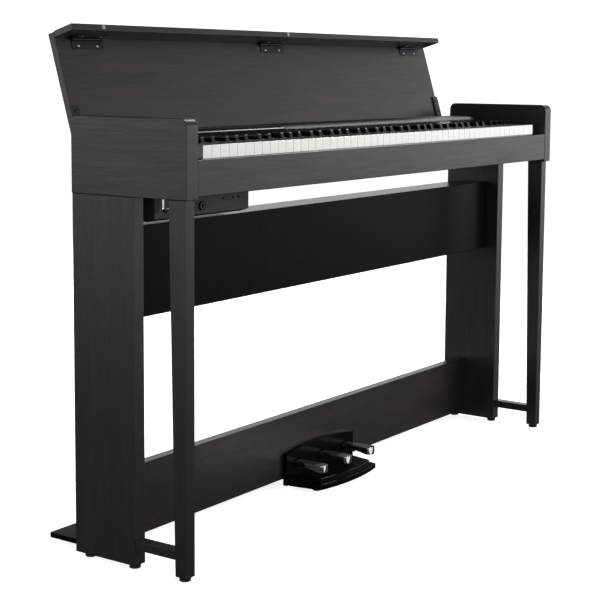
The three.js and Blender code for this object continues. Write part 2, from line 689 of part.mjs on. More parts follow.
const boxRear = boardRear;
const plateAndBox = join(
  profileY(archShape(), plateFront, plateRear),
  box(-pedalBoxHalfWidth, pedalBoxHalfWidth, plateRear - 1, boxRear, pedalBoxBottom, pedalBoxTop),
);
const pedalSlots = pedalX.map(([, x]) => {
  const half = pedalNeckWidth / 2 + pedalSlotRoom;
  return box(x - half, x + half, plateFront - 1, plateFront + pedalPlateThickness,
    pedalTop - pedalThickness - 6, pedalTop + pedalSlotRoom);
});
const boxHollow = box(-pedalBoxHalfWidth + pedalBoxWall + 1, pedalBoxHalfWidth - pedalBoxWall - 1,
  plateRear - 4, boxRear - pedalBoxWall, pedalBoxBottom + pedalBoxWall, pedalBoxTop - pedalBoxWall);
const axleHalf = pedalBoxHalfWidth - 1.5;
const axleBore = rod("x", 0, axleY, axleZ, pedalAxleRadius + pedalAxleClearance, 2 * axleHalf + 2 * gap);
add("pedal_plate", cut(plateAndBox, ...pedalSlots, boxHollow, axleBore), gloss);
add("pedal_axle", rod("x", 0, axleY, axleZ, pedalAxleRadius, 2 * axleHalf), chrome);

const pedalTip = boardFront - pedalReach;
const pedalBottom = pedalTop - pedalThickness;
const toeBottom = pedalTop - pedalToeThickness;
const toeRear = pedalTip + pedalToeLength;

/** A pedal seen from above: a straight neck that widens to a rounded toe. */
function pedalPlan(x) {
  const half = pedalWidth / 2;
  const neck = pedalNeckWidth / 2;
  const waist = plateFront - 14;
  const backEnd = axleY + pedalAxleRadius + 2.5;
  const shape = new THREE.Shape();
  shape.moveTo(x + neck, backEnd);
  shape.lineTo(x - neck, backEnd);
  shape.lineTo(x - neck, waist);
  shape.quadraticCurveTo(x - neck, waist - 10, x - half, waist - 18);
  shape.absellipse(x, pedalTip + pedalNoseDepth, half, pedalNoseDepth, Math.PI, 2 * Math.PI);
  shape.lineTo(x + half, waist - 18);
  shape.quadraticCurveTo(x + neck, waist - 10, x + neck, waist);
  shape.closePath();
  return shape;
}
const pedalUndercut = outline([toeRear, toeBottom - 1], [toeRear, toeBottom],
  [toeRear + pedalRiseLength, pedalBottom], [rear, pedalBottom], [rear, toeBottom - 1]);
for (const [name, x] of pedalX) {
  const blade = profileZ(pedalPlan(x), toeBottom, pedalTop);
  const under = profileX(pedalUndercut, x - pedalWidth, x + pedalWidth);
  const bore = rod("x", x, axleY, axleZ, pedalAxleRadius + pedalAxleClearance, pedalWidth + 2);
  add(`${name}_pedal`, cut(blade, under, bore), chrome);
}

/** The pedal base seen from above, drawn in by an inset all round its front and sides. */
function pedalBasePlan(inset, rearY) {
  const cornerY = boardFront - pedalBaseReach + inset;
  const halfFront = pedalBaseHalfFront - inset;
  const halfRear = pedalBaseHalfRear - inset;
  const shape = new THREE.Shape();
  shape.moveTo(-halfRear, rearY);
  shape.lineTo(-halfFront, cornerY);
  shape.quadraticCurveTo(0, cornerY - 2 * pedalBaseBow, halfFront, cornerY);
  shape.lineTo(halfRear, rearY);
  shape.closePath();
  return shape;
}
const baseTop = pedalBaseBottom + pedalBaseThickness;
const baseFootRadius = 8;
const baseFootTop = pedalBaseBottom + 1;
const baseFeet = [-1, 1].flatMap((side) => [plateFront - 8, boardFront - pedalBaseReach + 20].map((y) =>
  rod("z", side * (pedalBaseHalfFront - 14), y, baseFootTop / 2, baseFootRadius, baseFootTop)));
add("pedal_base", join(
  profileZ(pedalBasePlan(0, plateFront - gap), pedalBaseBottom, baseTop),
  profileZ(pedalBasePlan(pedalStepInset, plateFront - gap), baseTop - 1, baseTop + pedalStepHeight),
  ...baseFeet,
), gloss);

export default model;
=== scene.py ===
"""A slim digital piano on its stand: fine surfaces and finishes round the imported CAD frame.

Lengths are in metres. +Z is up, +X is the treble end and the player sits on the -Y side.
Every new piece is a surface worked out on a grid of two parameters, or an eased copy of a CAD node. It
takes its place and size from the node it rides with, so nothing here moves or resizes the design.
"""

import json
import math

import bmesh
import bpy
import numpy as np
from bpy.props import FloatProperty, FloatVectorProperty, IntProperty, PointerProperty
from bpy.types import Operator, Panel, PropertyGroup
from mathutils import Matrix, Vector


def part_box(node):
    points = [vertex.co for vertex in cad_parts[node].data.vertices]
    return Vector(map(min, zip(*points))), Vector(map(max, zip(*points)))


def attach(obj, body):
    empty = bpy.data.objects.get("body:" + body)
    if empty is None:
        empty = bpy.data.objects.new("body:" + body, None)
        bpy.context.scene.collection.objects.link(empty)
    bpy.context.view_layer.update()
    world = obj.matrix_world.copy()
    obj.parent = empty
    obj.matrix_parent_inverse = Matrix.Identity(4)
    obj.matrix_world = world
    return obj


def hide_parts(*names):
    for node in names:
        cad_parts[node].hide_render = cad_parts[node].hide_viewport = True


bl_info = {
    "name": "Digital Piano on Stand",
    "version": (1, 0, 0),
    "blender": (4, 5, 0),
    "location": "3D View > Sidebar > Piano",
    "description": "Builds the fine surfaces, finishes and stage of a slim digital piano",
    "category": "Object",
}

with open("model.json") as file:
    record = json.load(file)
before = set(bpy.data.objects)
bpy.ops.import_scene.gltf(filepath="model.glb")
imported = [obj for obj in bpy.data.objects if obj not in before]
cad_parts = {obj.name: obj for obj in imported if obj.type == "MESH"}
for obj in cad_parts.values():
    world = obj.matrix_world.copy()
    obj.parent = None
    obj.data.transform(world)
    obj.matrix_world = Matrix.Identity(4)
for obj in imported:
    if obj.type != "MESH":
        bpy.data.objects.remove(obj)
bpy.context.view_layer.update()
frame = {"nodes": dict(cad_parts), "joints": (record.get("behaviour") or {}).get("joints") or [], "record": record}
JOINTS = {joint["name"]: joint for joint in frame["joints"]}
SIDE_SIGN = {"left": -1, "right": 1}


# ---- numbers shared by the pieces
def low_high(node):
    """The two corners of a CAD node as numpy arrays."""
    low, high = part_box(node)
    return np.array(low), np.array(high)


LID_PIVOT = np.array(JOINTS["lid_pivot"]["pos_m"])
LID_TURN = -math.radians(JOINTS["lid_pivot"]["range_deg"][1])
FLAP_PIVOT = np.array(JOINTS["flap_hinge"]["pos_m"])


def turn_x(points, pivot, angle):
    """The points turned about the X direction through the pivot."""
    y, z = points[..., 1] - pivot[1], points[..., 2] - pivot[2]
    turned = np.array(points)
    turned[..., 1] = pivot[1] + y * math.cos(angle) - z * math.sin(angle)
    turned[..., 2] = pivot[2] + y * math.sin(angle) + z * math.cos(angle)
    return turned


def node_points(node):
    """Every corner point of a CAD node."""
    mesh = frame["nodes"][node].data
    flat = np.zeros(len(mesh.vertices) * 3)
    mesh.vertices.foreach_get("co", flat)
    return flat.reshape(-1, 3)


def closed_box(node):
    """The two corners that a lid node has with the lid closed."""
    points = turn_x(node_points(node), LID_PIVOT, -LID_TURN)
    return points.min(0), points.max(0)


def upright_disc(node):
    """The middle in plan, the radius, the foot and the top of a round CAD node that stands upright."""
    low, high = low_high(node)
    middle = (low + high) / 2
    return (middle[0], middle[1], 0), (high[0] - low[0]) / 2, low[2], high[2]


# ---- surfaces
def grid(points):
    """A closed surface from rows of rings, shape (rows, ring, 3): quads between rows, a cap on each end."""
    rows, ring = points.shape[:2]
    index = np.arange(rows * ring).reshape(rows, ring)
    following = np.roll(index, -1, axis=1)
    quads = np.stack([index[:-1], following[:-1], following[1:], index[1:]], axis=-1).reshape(-1, 4)
    faces = quads.tolist() + [index[0][::-1].tolist(), index[-1].tolist()]
    return outward(points.reshape(-1, 3), faces)


def outward(points, faces):
    """The same surface with every face turned over if its volume comes out negative."""
    fans = [(face[0], face[at], face[at + 1]) for face in faces for at in range(1, len(face) - 1)]
    a, b, c = points[np.array(fans)].transpose(1, 0, 2)
    volume = np.einsum("ij,ij->i", a, np.cross(b, c)).sum()
    return (points, faces) if volume > 0 else (points, [face[::-1] for face in faces])


def merged(*surfaces):
    """Several closed surfaces as one list of points and faces."""
    points, faces, start = [], [], 0
    for some_points, some_faces in surfaces:
        points.append(some_points)
        faces += [[start + at for at in face] for face in some_faces]
        start += len(some_points)
    return np.concatenate(points), faces


def moved(surface, change):
    """A surface with its points changed by a function, its faces kept."""
    return outward(change(surface[0]), surface[1])


def axis_order(axis):
    """Where section u, section v and the run w go among X, Y and Z."""
    return {"x": (1, 2, 0), "y": (0, 2, 1), "z": (0, 1, 2)}[axis]


def in_axes(u, v, w, axis):
    """Section coordinates u, v and run w as X, Y, Z points, with the run along an axis."""
    points = np.zeros(np.broadcast(u, v, w).shape + (3,))
    for values, place in zip((u, v, w), axis_order(axis)):
        points[..., place] = values
    return points


def rounded_ring(u0, v0, u1, v1, radii, steps):
    """A rectangle with arcs for corners, anticlockwise from the low corner: centre + r (cos a, sin a)."""
    quarter = np.linspace(0, math.pi / 2, steps + 1)
    corners = ((u0, v0, 1, 1), (u1, v0, -1, 1), (u1, v1, -1, -1), (u0, v1, 1, -1))
    rings = []
    for number, ((u, v, du, dv), radius) in enumerate(zip(corners, radii)):
        angle = math.pi + number * math.pi / 2 + quarter
        rings.append(np.stack([u + du * radius + radius * np.cos(angle),
                               v + dv * radius + radius * np.sin(angle)], axis=-1))
    return np.concatenate(rings)


def lofted(stations, axis, steps):
    """Rounded rectangles joined in a row; each station is (u0, v0, u1, v1, radii, place along the axis)."""
    rows = []
    for *box, radii, w in stations:
        ring = rounded_ring(*box, radii, steps)
        rows.append(in_axes(ring[:, 0], ring[:, 1], w, axis))
    return grid(np.stack(rows))


def slab(low, high, axis="x", edge=0.001, radii=None, steps=3):
    """A board: a rounded rectangle carried along an axis, its two ends rolled in by a quarter circle.

    At angle a of the roll the section shrinks by edge (1 - sin a) and the end recedes by edge (1 - cos a).
    """
    u_at, v_at, w_at = axis_order(axis)
    radii = [edge] * 4 if radii is None else [max(radius, edge) for radius in radii]
    roll = np.linspace(0, math.pi / 2, steps + 1)
    insets = edge * (1 - np.sin(roll))
    depths = edge * (1 - np.cos(roll))
    places = [*(low[w_at] + depths), *(high[w_at] - depths[::-1])]
    stations = [(low[u_at] + i, low[v_at] + i, high[u_at] - i, high[v_at] - i,
                 [max(radius - i, edge * 0.02) for radius in radii], w)
                for w, i in zip(places, [*insets, *insets[::-1]])]
    return lofted(stations, axis, steps)


def turned(profile, centre, axis="z", segments=40, ridges=0):
    """A solid of revolution: each (radius, height) of the profile swept round the axis, ends capped flat.

    With ridges the radius is scaled by 1 - 0.02 (1 + cos (ridges a)) / 2 round the turn, for a grip.
    """
    profile = np.array(profile)
    angle = np.arange(segments) * 2 * math.pi / segments
    swell = 1 - 0.02 * (0.5 + 0.5 * np.cos(ridges * angle)) if ridges else np.ones(segments)
    radius = profile[:, :1] * swell
    height = np.repeat(profile[:, 1:], segments, axis=1)
    points = in_axes(radius * np.cos(angle), radius * np.sin(angle), height, axis)
    return grid(points + np.array(centre))


def swept(path, radius, segments=16):
    """A round bar along a path in a plane of constant X: a circle set square to the path at each point."""
    along = np.gradient(path, axis=0)
    along /= np.linalg.norm(along, axis=1, keepdims=True)
    across = np.array([1.0, 0.0, 0.0])
    up = np.cross(across, along)
    angle = np.arange(segments) * 2 * math.pi / segments
    radius = np.broadcast_to(np.asarray(radius, float), (len(path),))[:, None, None]
    circle = across * np.cos(angle)[:, None] + up[:, None, :] * np.sin(angle)[None, :, None]
    return grid(path[:, None, :] + radius * circle)


def screw(centre, axis="z", radius=0.0032, height=0.0012, facing=1):
    """A domed screw head: rings round the axis whose middle dips where |cos 2a| is large, as a cross."""
    rings = np.array([0.02, 0.28, 0.34, 0.62, 0.86, 0.97, 1.0, 1.0])
    heights = np.array([1.0, 1.0, 1.0, 0.86, 0.55, 0.25, 0.0, -0.4])
    angle = np.arange(32) * 2 * math.pi / 32
    arms = np.abs(np.cos(2 * angle)) > 0.72
    dip = np.array([1, 1, 1, 0, 0, 0, 0, 0])[:, None] * np.where(arms, 0.75, 0.15)
    lift = facing * height * (heights[:, None] - dip)
    reach_out = radius * rings[:, None]
    points = in_axes(reach_out * np.cos(angle), reach_out * np.sin(angle), lift, axis)
    return grid(points + np.array(centre))


# ---- pieces and their bodies
BODY_OF = {node: body for body, nodes in frame["record"]["behaviour"]["bodies"].items() for node in nodes}
CREASE = math.radians(40)  # the angle past which an edge is shaded sharp
FINISHES = {}  # every material by its short name


def fitted(made, node, finish, replaces, sharp):
    """Gives a new object its finish and creases, and lets it ride with the node it belongs to."""
    mesh = made.data
    mesh.polygons.foreach_set("use_smooth", [True] * len(mesh.polygons))
    mesh.set_sharp_from_angle(angle=sharp)
    mesh.materials.clear()
    mesh.materials.append(FINISHES[finish])
    bpy.context.scene.collection.objects.link(made)
    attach(made, BODY_OF[node])
    if replaces:
        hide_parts(node)


def piece(name, node, finish, *surfaces, replaces=True, sharp=CREASE):
    """A mesh object from closed surfaces; unless told otherwise it stands for its node."""
    points, faces = merged(*surfaces)
    mesh = bpy.data.meshes.new(name)
    mesh.from_pydata(points.tolist(), [], faces)
    mesh.validate()
    made = bpy.data.objects.new(name, mesh)
    fitted(made, node, finish, replaces, sharp)
    evened = made.modifiers.new("even_shading", "WEIGHTED_NORMAL")
    evened.keep_sharp = True


def fine(node, finish, *surfaces, **options):
    """The fine piece that stands for a CAD node."""
    piece(node + "_fine", node, finish, *surfaces, **options)


def extra(name, node, finish, *surfaces):
    """A small part that rides with a node and replaces nothing."""
    piece(name, node, finish, *surfaces, replaces=False)


def board(node, finish, axis, edge, radii=None, steps=3):
    """A slab that fills the box of a CAD node and stands for it."""
    low, high = low_high(node)
    fine(node, finish, slab(low, high, axis, edge, radii, steps))


def refined(node, finish, width=0.0006, segments=2):
    """A merged copy of a CAD node with its edges eased by a live bevel; it stands for the node."""
    mesh = frame["nodes"][node].data.copy()
    mesh.name = node + "_fine"
    work = bmesh.new()
    work.from_mesh(mesh)
    bmesh.ops.remove_doubles(work, verts=work.verts, dist=1e-6)
    bmesh.ops.dissolve_limit(work, angle_limit=math.radians(1), verts=work.verts, edges=work.edges)
    work.to_mesh(mesh)
    work.free()
    made = bpy.data.objects.new(node + "_fine", mesh)
    fitted(made, node, finish, True, CREASE)
    bevel = made.modifiers.new("eased_edges", "BEVEL")
    bevel.width = width
    bevel.segments = segments
    bevel.limit_method = "ANGLE"
    bevel.angle_limit = CREASE
    bevel.harden_normals = True


def dress(node, finish):
    """Gives a CAD node that keeps its own mesh its finish."""
    mesh = frame["nodes"][node].data
    mesh.materials.clear()
    mesh.materials.append(FINISHES[finish])


# ---- finishes
class Finish:
    """A small builder of node materials: each method adds a node and returns its output."""

    def __init__(self, name):
        self.material = bpy.data.materials.new(name)
        self.material.use_nodes = True
        self.tree = self.material.node_tree
        self.shader = self.tree.nodes["Principled BSDF"]
        self.place = self.tree.nodes.new("ShaderNodeTexCoord").outputs["Object"]

    def set(self, **values):
        for name, value in values.items():
            self.shader.inputs[name.replace("_", " ")].default_value = value
        return self

    def node(self, kind, **inputs):
        made = self.tree.nodes.new(kind)
        for name, value in inputs.items():
            socket = made.inputs[name.replace("_", " ")]
            if isinstance(value, bpy.types.NodeSocket):
                self.tree.links.new(value, socket)
            else:
                socket.default_value = value
        return made

    def mapped(self, scale, shift=(0, 0, 0)):
        made = self.node("ShaderNodeMapping", Vector=self.place)
        made.inputs["Scale"].default_value = scale
        made.inputs["Location"].default_value = shift
        return made.outputs["Vector"]

    def noise(self, scale, detail=3.0, roughness=0.55, stretch=(1, 1, 1), shift=(0, 0, 0), distortion=0.0):
        made = self.node("ShaderNodeTexNoise", Vector=self.mapped(stretch, shift), Scale=scale,
                         Detail=detail, Roughness=roughness, Distortion=distortion)
        return made.outputs["Fac"]

    def ramp(self, value, *stops):
        """A colour ramp through (position, colour) stops."""
        made = self.node("ShaderNodeValToRGB", Fac=value)
        elements = made.color_ramp.elements
        while len(elements) < len(stops):
            elements.new(0.5)
        for element, (position, colour) in zip(elements, stops):
            element.position = position
            element.color = (*colour, 1)
        return made.outputs["Color"]

    def mix(self, factor, first, second, blend="MIX"):
        made = self.tree.nodes.new("ShaderNodeMix")
        made.data_type = "RGBA"
        made.blend_type = blend
        for socket, value in zip((made.inputs[0], made.inputs[6], made.inputs[7]), (factor, first, second)):
            if isinstance(value, bpy.types.NodeSocket):
                self.tree.links.new(value, socket)
            elif isinstance(value, tuple):
                socket.default_value = (*value, 1)
            else:
                socket.default_value = value
        return made.outputs[2]

    def span(self, value, low, high):
        """A 0 to 1 value stretched to run from low to high."""
        made = self.node("ShaderNodeMapRange", Value=value, To_Min=low, To_Max=high)
        return made.outputs["Result"]

    def feed(self, name, output):
        self.tree.links.new(output, self.shader.inputs[name])
        return self

    def paint(self, colour, roughness):
        """The colour and the roughness that every finish is given."""
        return self.feed("Base Color", colour).feed("Roughness", roughness)

    def bump(self, height, strength, distance):
        made = self.node("ShaderNodeBump", Height=height, Strength=strength, Distance=distance)
        return self.feed("Normal", made.outputs["Normal"])


GRAIN = {"x": (1, 26, 26), "y": (26, 1, 26), "z": (26, 26, 1)}
BROAD = {"x": (1, 7, 7), "y": (7, 1, 7), "z": (7, 7, 1)}


def rosewood(axis):
    """Dark rosewood laminate: fine dark pores and long streaks along the grain, with dull red patches."""
    looks = bpy.context.scene.piano_looks
    finish = Finish(f"rosewood_along_{axis}")
    deep, red, gloss_swing = tuple(looks.wood_colour), tuple(looks.wood_streak), 0.16
    fine = finish.noise(11, 6, 0.66, GRAIN[axis], distortion=0.25)
    broad = finish.noise(5.4, 4, 0.62, BROAD[axis], shift=(3.1, 1.7, 0.4), distortion=0.35)
    pores = finish.noise(46, 3, 0.7, GRAIN[axis], shift=(0.3, 5.1, 2.2))
    ground = finish.ramp(fine, (0.34, tuple(0.40 * c for c in deep)), (0.66, tuple(1.65 * c for c in deep)))
    patch = finish.ramp(broad, (0.50, (0, 0, 0)), (0.72, (1, 1, 1)))
    streaked = finish.mix(finish.mix(0.75, (0, 0, 0), patch), ground, red)
    darker = finish.ramp(pores, (0.36, (0.20, 0.19, 0.19)), (0.50, (1, 1, 1)))
    finish.paint(finish.mix(0.8, streaked, darker, "MULTIPLY"),
                 finish.span(fine, looks.wood_gloss + gloss_swing, looks.wood_gloss - gloss_swing))
    finish.bump(finish.mix(0.5, fine, pores), 0.45, 0.0003)
    finish.set(Specular_IOR_Level=0.5, Coat_Weight=0.10, Coat_Roughness=0.30)
    return finish.material


def black_board():
    """Black laminate with a faint upright texture. On the rear base board it is painted shade: it darkens a board
    that would otherwise be wood.
    """
    finish = Finish("black_laminate")
    fine = finish.noise(14, 5, 0.6, (20, 20, 2))
    grit = finish.noise(900, 2, 0.5)
    dark, light = (0.0032, 0.0030, 0.0037), (0.0066, 0.0060, 0.0070)
    finish.paint(finish.ramp(fine, (0.3, dark), (0.75, light)), finish.span(grit, 0.24, 0.32))
    finish.bump(finish.mix(0.5, fine, grit), 0.12, 0.00015)
    return finish.set(Specular_IOR_Level=0.05).material


def plastic(name, colour, rough, grit_scale=1400, grit=0.12, speckle=0.18, coat=0.0, specular=0.5):
    """Moulded plastic: a fine spark-eroded grain in the bump and gloss, and a cloudy change of tone."""
    finish = Finish(name)
    cloud = finish.noise(9, 3, 0.5)
    grain = finish.noise(grit_scale, 2, 0.6)
    low = tuple((1 - speckle) * c for c in colour)
    high = tuple(min(1, (1 + speckle) * c) for c in colour)
    finish.paint(finish.ramp(cloud, (0.3, low), (0.7, high)), finish.span(grain, rough - 0.05, rough + 0.06))
    finish.bump(grain, grit, 0.00008)
    return finish.set(Coat_Weight=coat, Coat_Roughness=0.06, Specular_IOR_Level=specular).material


def metal(name, colour, rough, brush=(1, 1, 1), mark=0.05, metallic=1.0):
    """Metal: a gloss that varies along faint brushing, with soft handling marks."""
    finish = Finish(name)
    line = finish.noise(60, 3, 0.6, brush)
    smear = finish.noise(35, 2, 0.5)
    tint = finish.ramp(smear, (0.3, tuple(0.94 * c for c in colour)), (0.7, colour))
    marks = finish.mix(0.5, line, smear)
    finish.paint(tint, finish.span(marks, max(0.02, rough - mark), rough + mark))
    finish.bump(line, 0.05, 0.00004)
    return finish.set(Metallic=metallic).material


def circuit_green():
    """Solder mask over copper runs, in two greens."""
    finish = Finish("circuit_green")
    runs = finish.node("ShaderNodeTexBrick", Vector=finish.mapped((90, 90, 90)), Mortar_Size=0.03)
    colour = finish.mix(runs.outputs["Fac"], (0.012, 0.09, 0.035), (0.03, 0.17, 0.06))
    return finish.paint(colour, finish.span(finish.noise(300), 0.3, 0.45)).material


def cone_paper():
    """Pressed black paper with fine fibres."""
    finish = Finish("cone_paper")
    fibre = finish.noise(420, 4, 0.7)
    colour = finish.ramp(fibre, (0.3, (0.012, 0.012, 0.013)), (0.7, (0.03, 0.03, 0.031)))
    return finish.paint(colour, finish.span(fibre, 0.7, 0.9)).bump(fibre, 0.5, 0.0003).material


def make_finishes():
    """Every finish once, by a short name."""
    looks = bpy.context.scene.piano_looks
    for axis in "xyz":
        FINISHES["wood_" + axis] = rosewood(axis)
    FINISHES.update(
        black_board=black_board(),
        cover=plastic("satin_cover", (0.0085, 0.0085, 0.0098), 0.46, 1700, 0.10, specular=0.12),
        gloss=plastic("gloss_black", (0.0026, 0.0026, 0.003), 0.18, 900, 0.01, 0.1, 0.1, 0.15),
        housing=plastic("pedal_housing_black", (0.0022, 0.0023, 0.0028), 0.20, 1500, 0.04, specular=0.08),
        charcoal=plastic("charcoal_plastic", tuple(looks.charcoal_colour), 0.55, 1300, 0.25),
        ivory=plastic("ivory_key", tuple(looks.ivory_colour), 0.10, 1800, 0.01, 0.012, coat=1.0),
        ebony=plastic("ebony_key", (0.0022, 0.0022, 0.0025), 0.11, 1900, 0.02, specular=0.4),
        buffer=plastic("pale_buffer", (0.32, 0.31, 0.29), 0.35, 900, 0.05),
        rubber=plastic("foot_rubber", (0.012, 0.012, 0.012), 0.75, 700, 0.3),
        chrome=metal("polished_chrome", (0.83, 0.84, 0.86), 0.07, (40, 2, 40), 0.03),
        steel=metal("screw_steel", (0.55, 0.55, 0.57), 0.25, mark=0.08),
        black_metal=metal("blackened_metal", (0.035, 0.035, 0.04), 0.28, (2, 30, 30), 0.07, 0.8),
        lamp=plastic("lamp_lens", (0.3, 0.02, 0.015), 0.2, 900, 0.02),
        circuit=circuit_green(),
        cone=cone_paper(),
    )


# ---- settings a user may change
class PianoLooks(PropertyGroup):
    """Colours, edge sizes and small parts of the piano."""

    wood_colour: FloatVectorProperty(
        name="Wood colour", description="Ground colour of the laminate",
        default=(0.0132, 0.0106, 0.0094), size=3, min=0, max=1, subtype="COLOR")
    wood_streak: FloatVectorProperty(
        name="Wood streaks", description="Colour of the red patches in the grain",
        default=(0.038, 0.0150, 0.0122), size=3, min=0, max=1, subtype="COLOR")
    wood_gloss: FloatProperty(
        name="Wood roughness", description="Roughness of the laminate",
        default=0.33, min=0.1, max=0.9, subtype="FACTOR")
    ivory_colour: FloatVectorProperty(
        name="White keys", description="Colour of the white keys",
        default=(0.80, 0.81, 0.76), size=3, min=0, max=1, subtype="COLOR")
    charcoal_colour: FloatVectorProperty(
        name="Jack box", description="Colour of the socket housing",
        default=(0.026, 0.027, 0.029), size=3, min=0, max=1, subtype="COLOR")
    board_edge: FloatProperty(
        name="Board edge", description="Radius on the edges of the boards",
        default=0.0011, min=0.0002, max=0.003, unit="LENGTH")
    side_corner: FloatProperty(
        name="Side corner", description="Radius on the top corners of the side boards",
        default=0.014, min=0.001, max=0.04, unit="LENGTH")
    base_corner: FloatProperty(
        name="Base corner", description="Radius on the rear corners of the base board",
        default=0.004, min=0.001, max=0.05, unit="LENGTH")
    hinge_screws: IntProperty(
        name="Hinge screws", description="Screws in each leaf of a lid hinge", default=2, min=1, max=4)


class StageLooks(PropertyGroup):
    """The light, the floor and the camera."""

    key_power: FloatProperty(
        name="Front light", description="Power of the soft light in front and above",
        default=92, min=0, unit="POWER")
    side_power: FloatProperty(
        name="Left light", description="Power of the soft light beyond the bass end",
        default=6, min=0, unit="POWER")
    rim_power: FloatProperty(
        name="Right light", description="Power of the soft light above the treble end",
        default=44, min=0, unit="POWER")
    back_power: FloatProperty(
        name="Back light", description="Power of the soft light behind the piano",
        default=110, min=0, unit="POWER")
    sky_power: FloatProperty(
        name="Horizon", description="Strength of the pale band round the horizon", default=1.9, min=0)
    floor_colour: FloatVectorProperty(
        name="Floor", description="Colour of the floor",
        default=(0.9, 0.9, 0.9), size=3, min=0, max=1, subtype="COLOR")
    camera_place: FloatVectorProperty(
        name="Camera place", description="Where the camera stands",
        default=(-2.483, -1.654, 0.851), size=3, subtype="XYZ", unit="LENGTH")
    camera_yaw: FloatProperty(
        name="Camera yaw", description="Turn from straight at the keys to the treble end",
        default=math.radians(54.84), unit="ROTATION")
    camera_pitch: FloatProperty(
        name="Camera pitch", description="Tilt above the horizon",
        default=math.radians(-6.45), unit="ROTATION")
    camera_roll: FloatProperty(
        name="Camera roll", description="Turn about the line of sight",
        default=math.radians(0.34), unit="ROTATION")
    camera_lens: FloatProperty(
        name="Lens", description="Focal length on a 36 mm wide sensor, in millimetres", default=87.56, min=10)
    camera_shift: FloatVectorProperty(
        name="Lens shift", description="Shift across and up, in picture widths",
        default=(0.0142, -0.1109), size=2)


# ---- case
class PIANO_OT_finishes(Operator):
    """Makes the materials"""

    bl_idname = "piano.finishes"
    bl_label = "Finishes"

    def execute(self, context):
        make_finishes()
        return {"FINISHED"}


class PIANO_OT_case(Operator):
    """Side boards, key slip, key bed, panels, key blocks, key frame and circuit board"""

    bl_idname = "piano.case"
    bl_label = "Case"

    def execute(self, context):
        looks = context.scene.piano_looks
        edge = looks.board_edge
        for side in SIDE_SIGN:
            corners = [edge, edge, looks.side_corner, looks.side_corner]
            board(f"{side}_side_board", "wood_y", "x", edge, corners, 6)
            board(f"{side}_key_block", "ebony", "y", 0.0015)
        board("key_slip", "wood_x", "x", edge, [edge, edge, 0.0018, 0.0018], 4)
        for node in ("key_bed", "rear_panel"):
            board(node, "black_board", "x", edge)
        refined("top_panel", "cover", 0.0008, 3)
        refined("key_frame", "charcoal")
        dress("circuit_board", "circuit")
        self.panel_screws()
        return {"FINISHED"}

    def panel_screws(self):
        """Screws along the back of the rear panel."""
        low, high = low_high("rear_panel")
        middle = (low[2] + high[2]) / 2
        places = np.linspace(low[0] + 0.06, high[0] - 0.06, 7)
        heads = [screw((x, high[1] + 0.0001, middle), "y") for x in places]
        extra("rear_panel_screws", "rear_panel", "black_metal", *heads)


class PIANO_OT_controls(Operator):
    """Control panel with its knob, power button, lamp and touch buttons"""

    bl_idname = "piano.controls"
    bl_label = "Controls"

    def execute(self, context):
        refined("control_panel", "gloss", 0.0004, 2)
        low, high = low_high("control_panel")
        surface = high[2]
        fall = slab((low[0] + 0.001, low[1] - 0.0004, low[2] + 0.0002),
                    (high[0] - 0.0003, low[1] + 0.001, surface - 0.004), "x", 0.0003)
        extra("control_panel_fall", "control_panel", "cover", fall)
        self.knob(surface)
        centre, radius, foot, top = upright_disc("power_button")
        cap = [(radius, foot), (radius, top - 0.0008), (radius * 0.95, top - 0.0003),
               (radius * 0.85, top), (radius * 0.5, top - 0.0002), (radius * 0.02, top - 0.0003)]
        fine("power_button", "charcoal", turned(cap, centre, "z", 48))
        self.small_parts(surface)
        return {"FINISHED"}

    def knob(self, surface):
        """A turned knob whose radius swells 36 times round its grip, with a steel mark near its front."""
        centre, radius, foot, top = upright_disc("volume_knob")
        stem, skirt = radius / 2, surface + 0.0003
        grip = [(stem, foot), (stem, skirt), (radius * 0.97, skirt),
                (radius, surface + 0.0010), (radius * 0.95, top - 0.0014), (radius * 0.90, top - 0.0005),
                (radius * 0.82, top), (radius * 0.30, top - 0.0004), (radius * 0.02, top - 0.0004)]
        front = low_high("volume_knob")[0][1]
        mark = slab((centre[0] - 0.0004, front + 0.0016, top - 0.0002),
                    (centre[0] + 0.0004, front + 0.0048, top), "z", 0.00008)
        fine("volume_knob", "gloss", turned(grip, centre, "z", 144, 36))
        extra("volume_knob_mark", "volume_knob", "steel", mark)

    def small_parts(self, surface):
        """A lamp by the power button and a row of low touch buttons along the panel."""
        (x, y, _), radius = upright_disc("power_button")[:2]
        lamp = [(0.0012, surface - 0.001), (0.0012, surface + 0.0003), (0.0008, surface + 0.0005),
                (0.0001, surface + 0.0006)]
        extra("power_lamp", "control_panel", "lamp", turned(lamp, (x + radius + 0.006, y, 0), "z", 20))
        start = low_high("volume_knob")[1][0] + 0.03
        pitch, width, half_depth = 0.026, 0.016, 0.004
        keys = [slab((left, y - half_depth, surface - 0.001),
                     (left + width, y + half_depth, surface + 0.0007), "z", 0.0004, [0.0015] * 4)
                for left in start + pitch * np.arange(8)]
        extra("touch_buttons", "control_panel", "charcoal", *keys)


# ---- keyboard
LETTERS = "abcdefg"
SHARP_SHIFT = {"a": 0.004, "c": -0.0028, "d": 0.0028, "f": -0.004, "g": 0.0}
WHITE_COUNT = 52
MOVING_WHITES = sum(1 for node in frame["nodes"] if node.startswith("key_") and len(node) == 6)


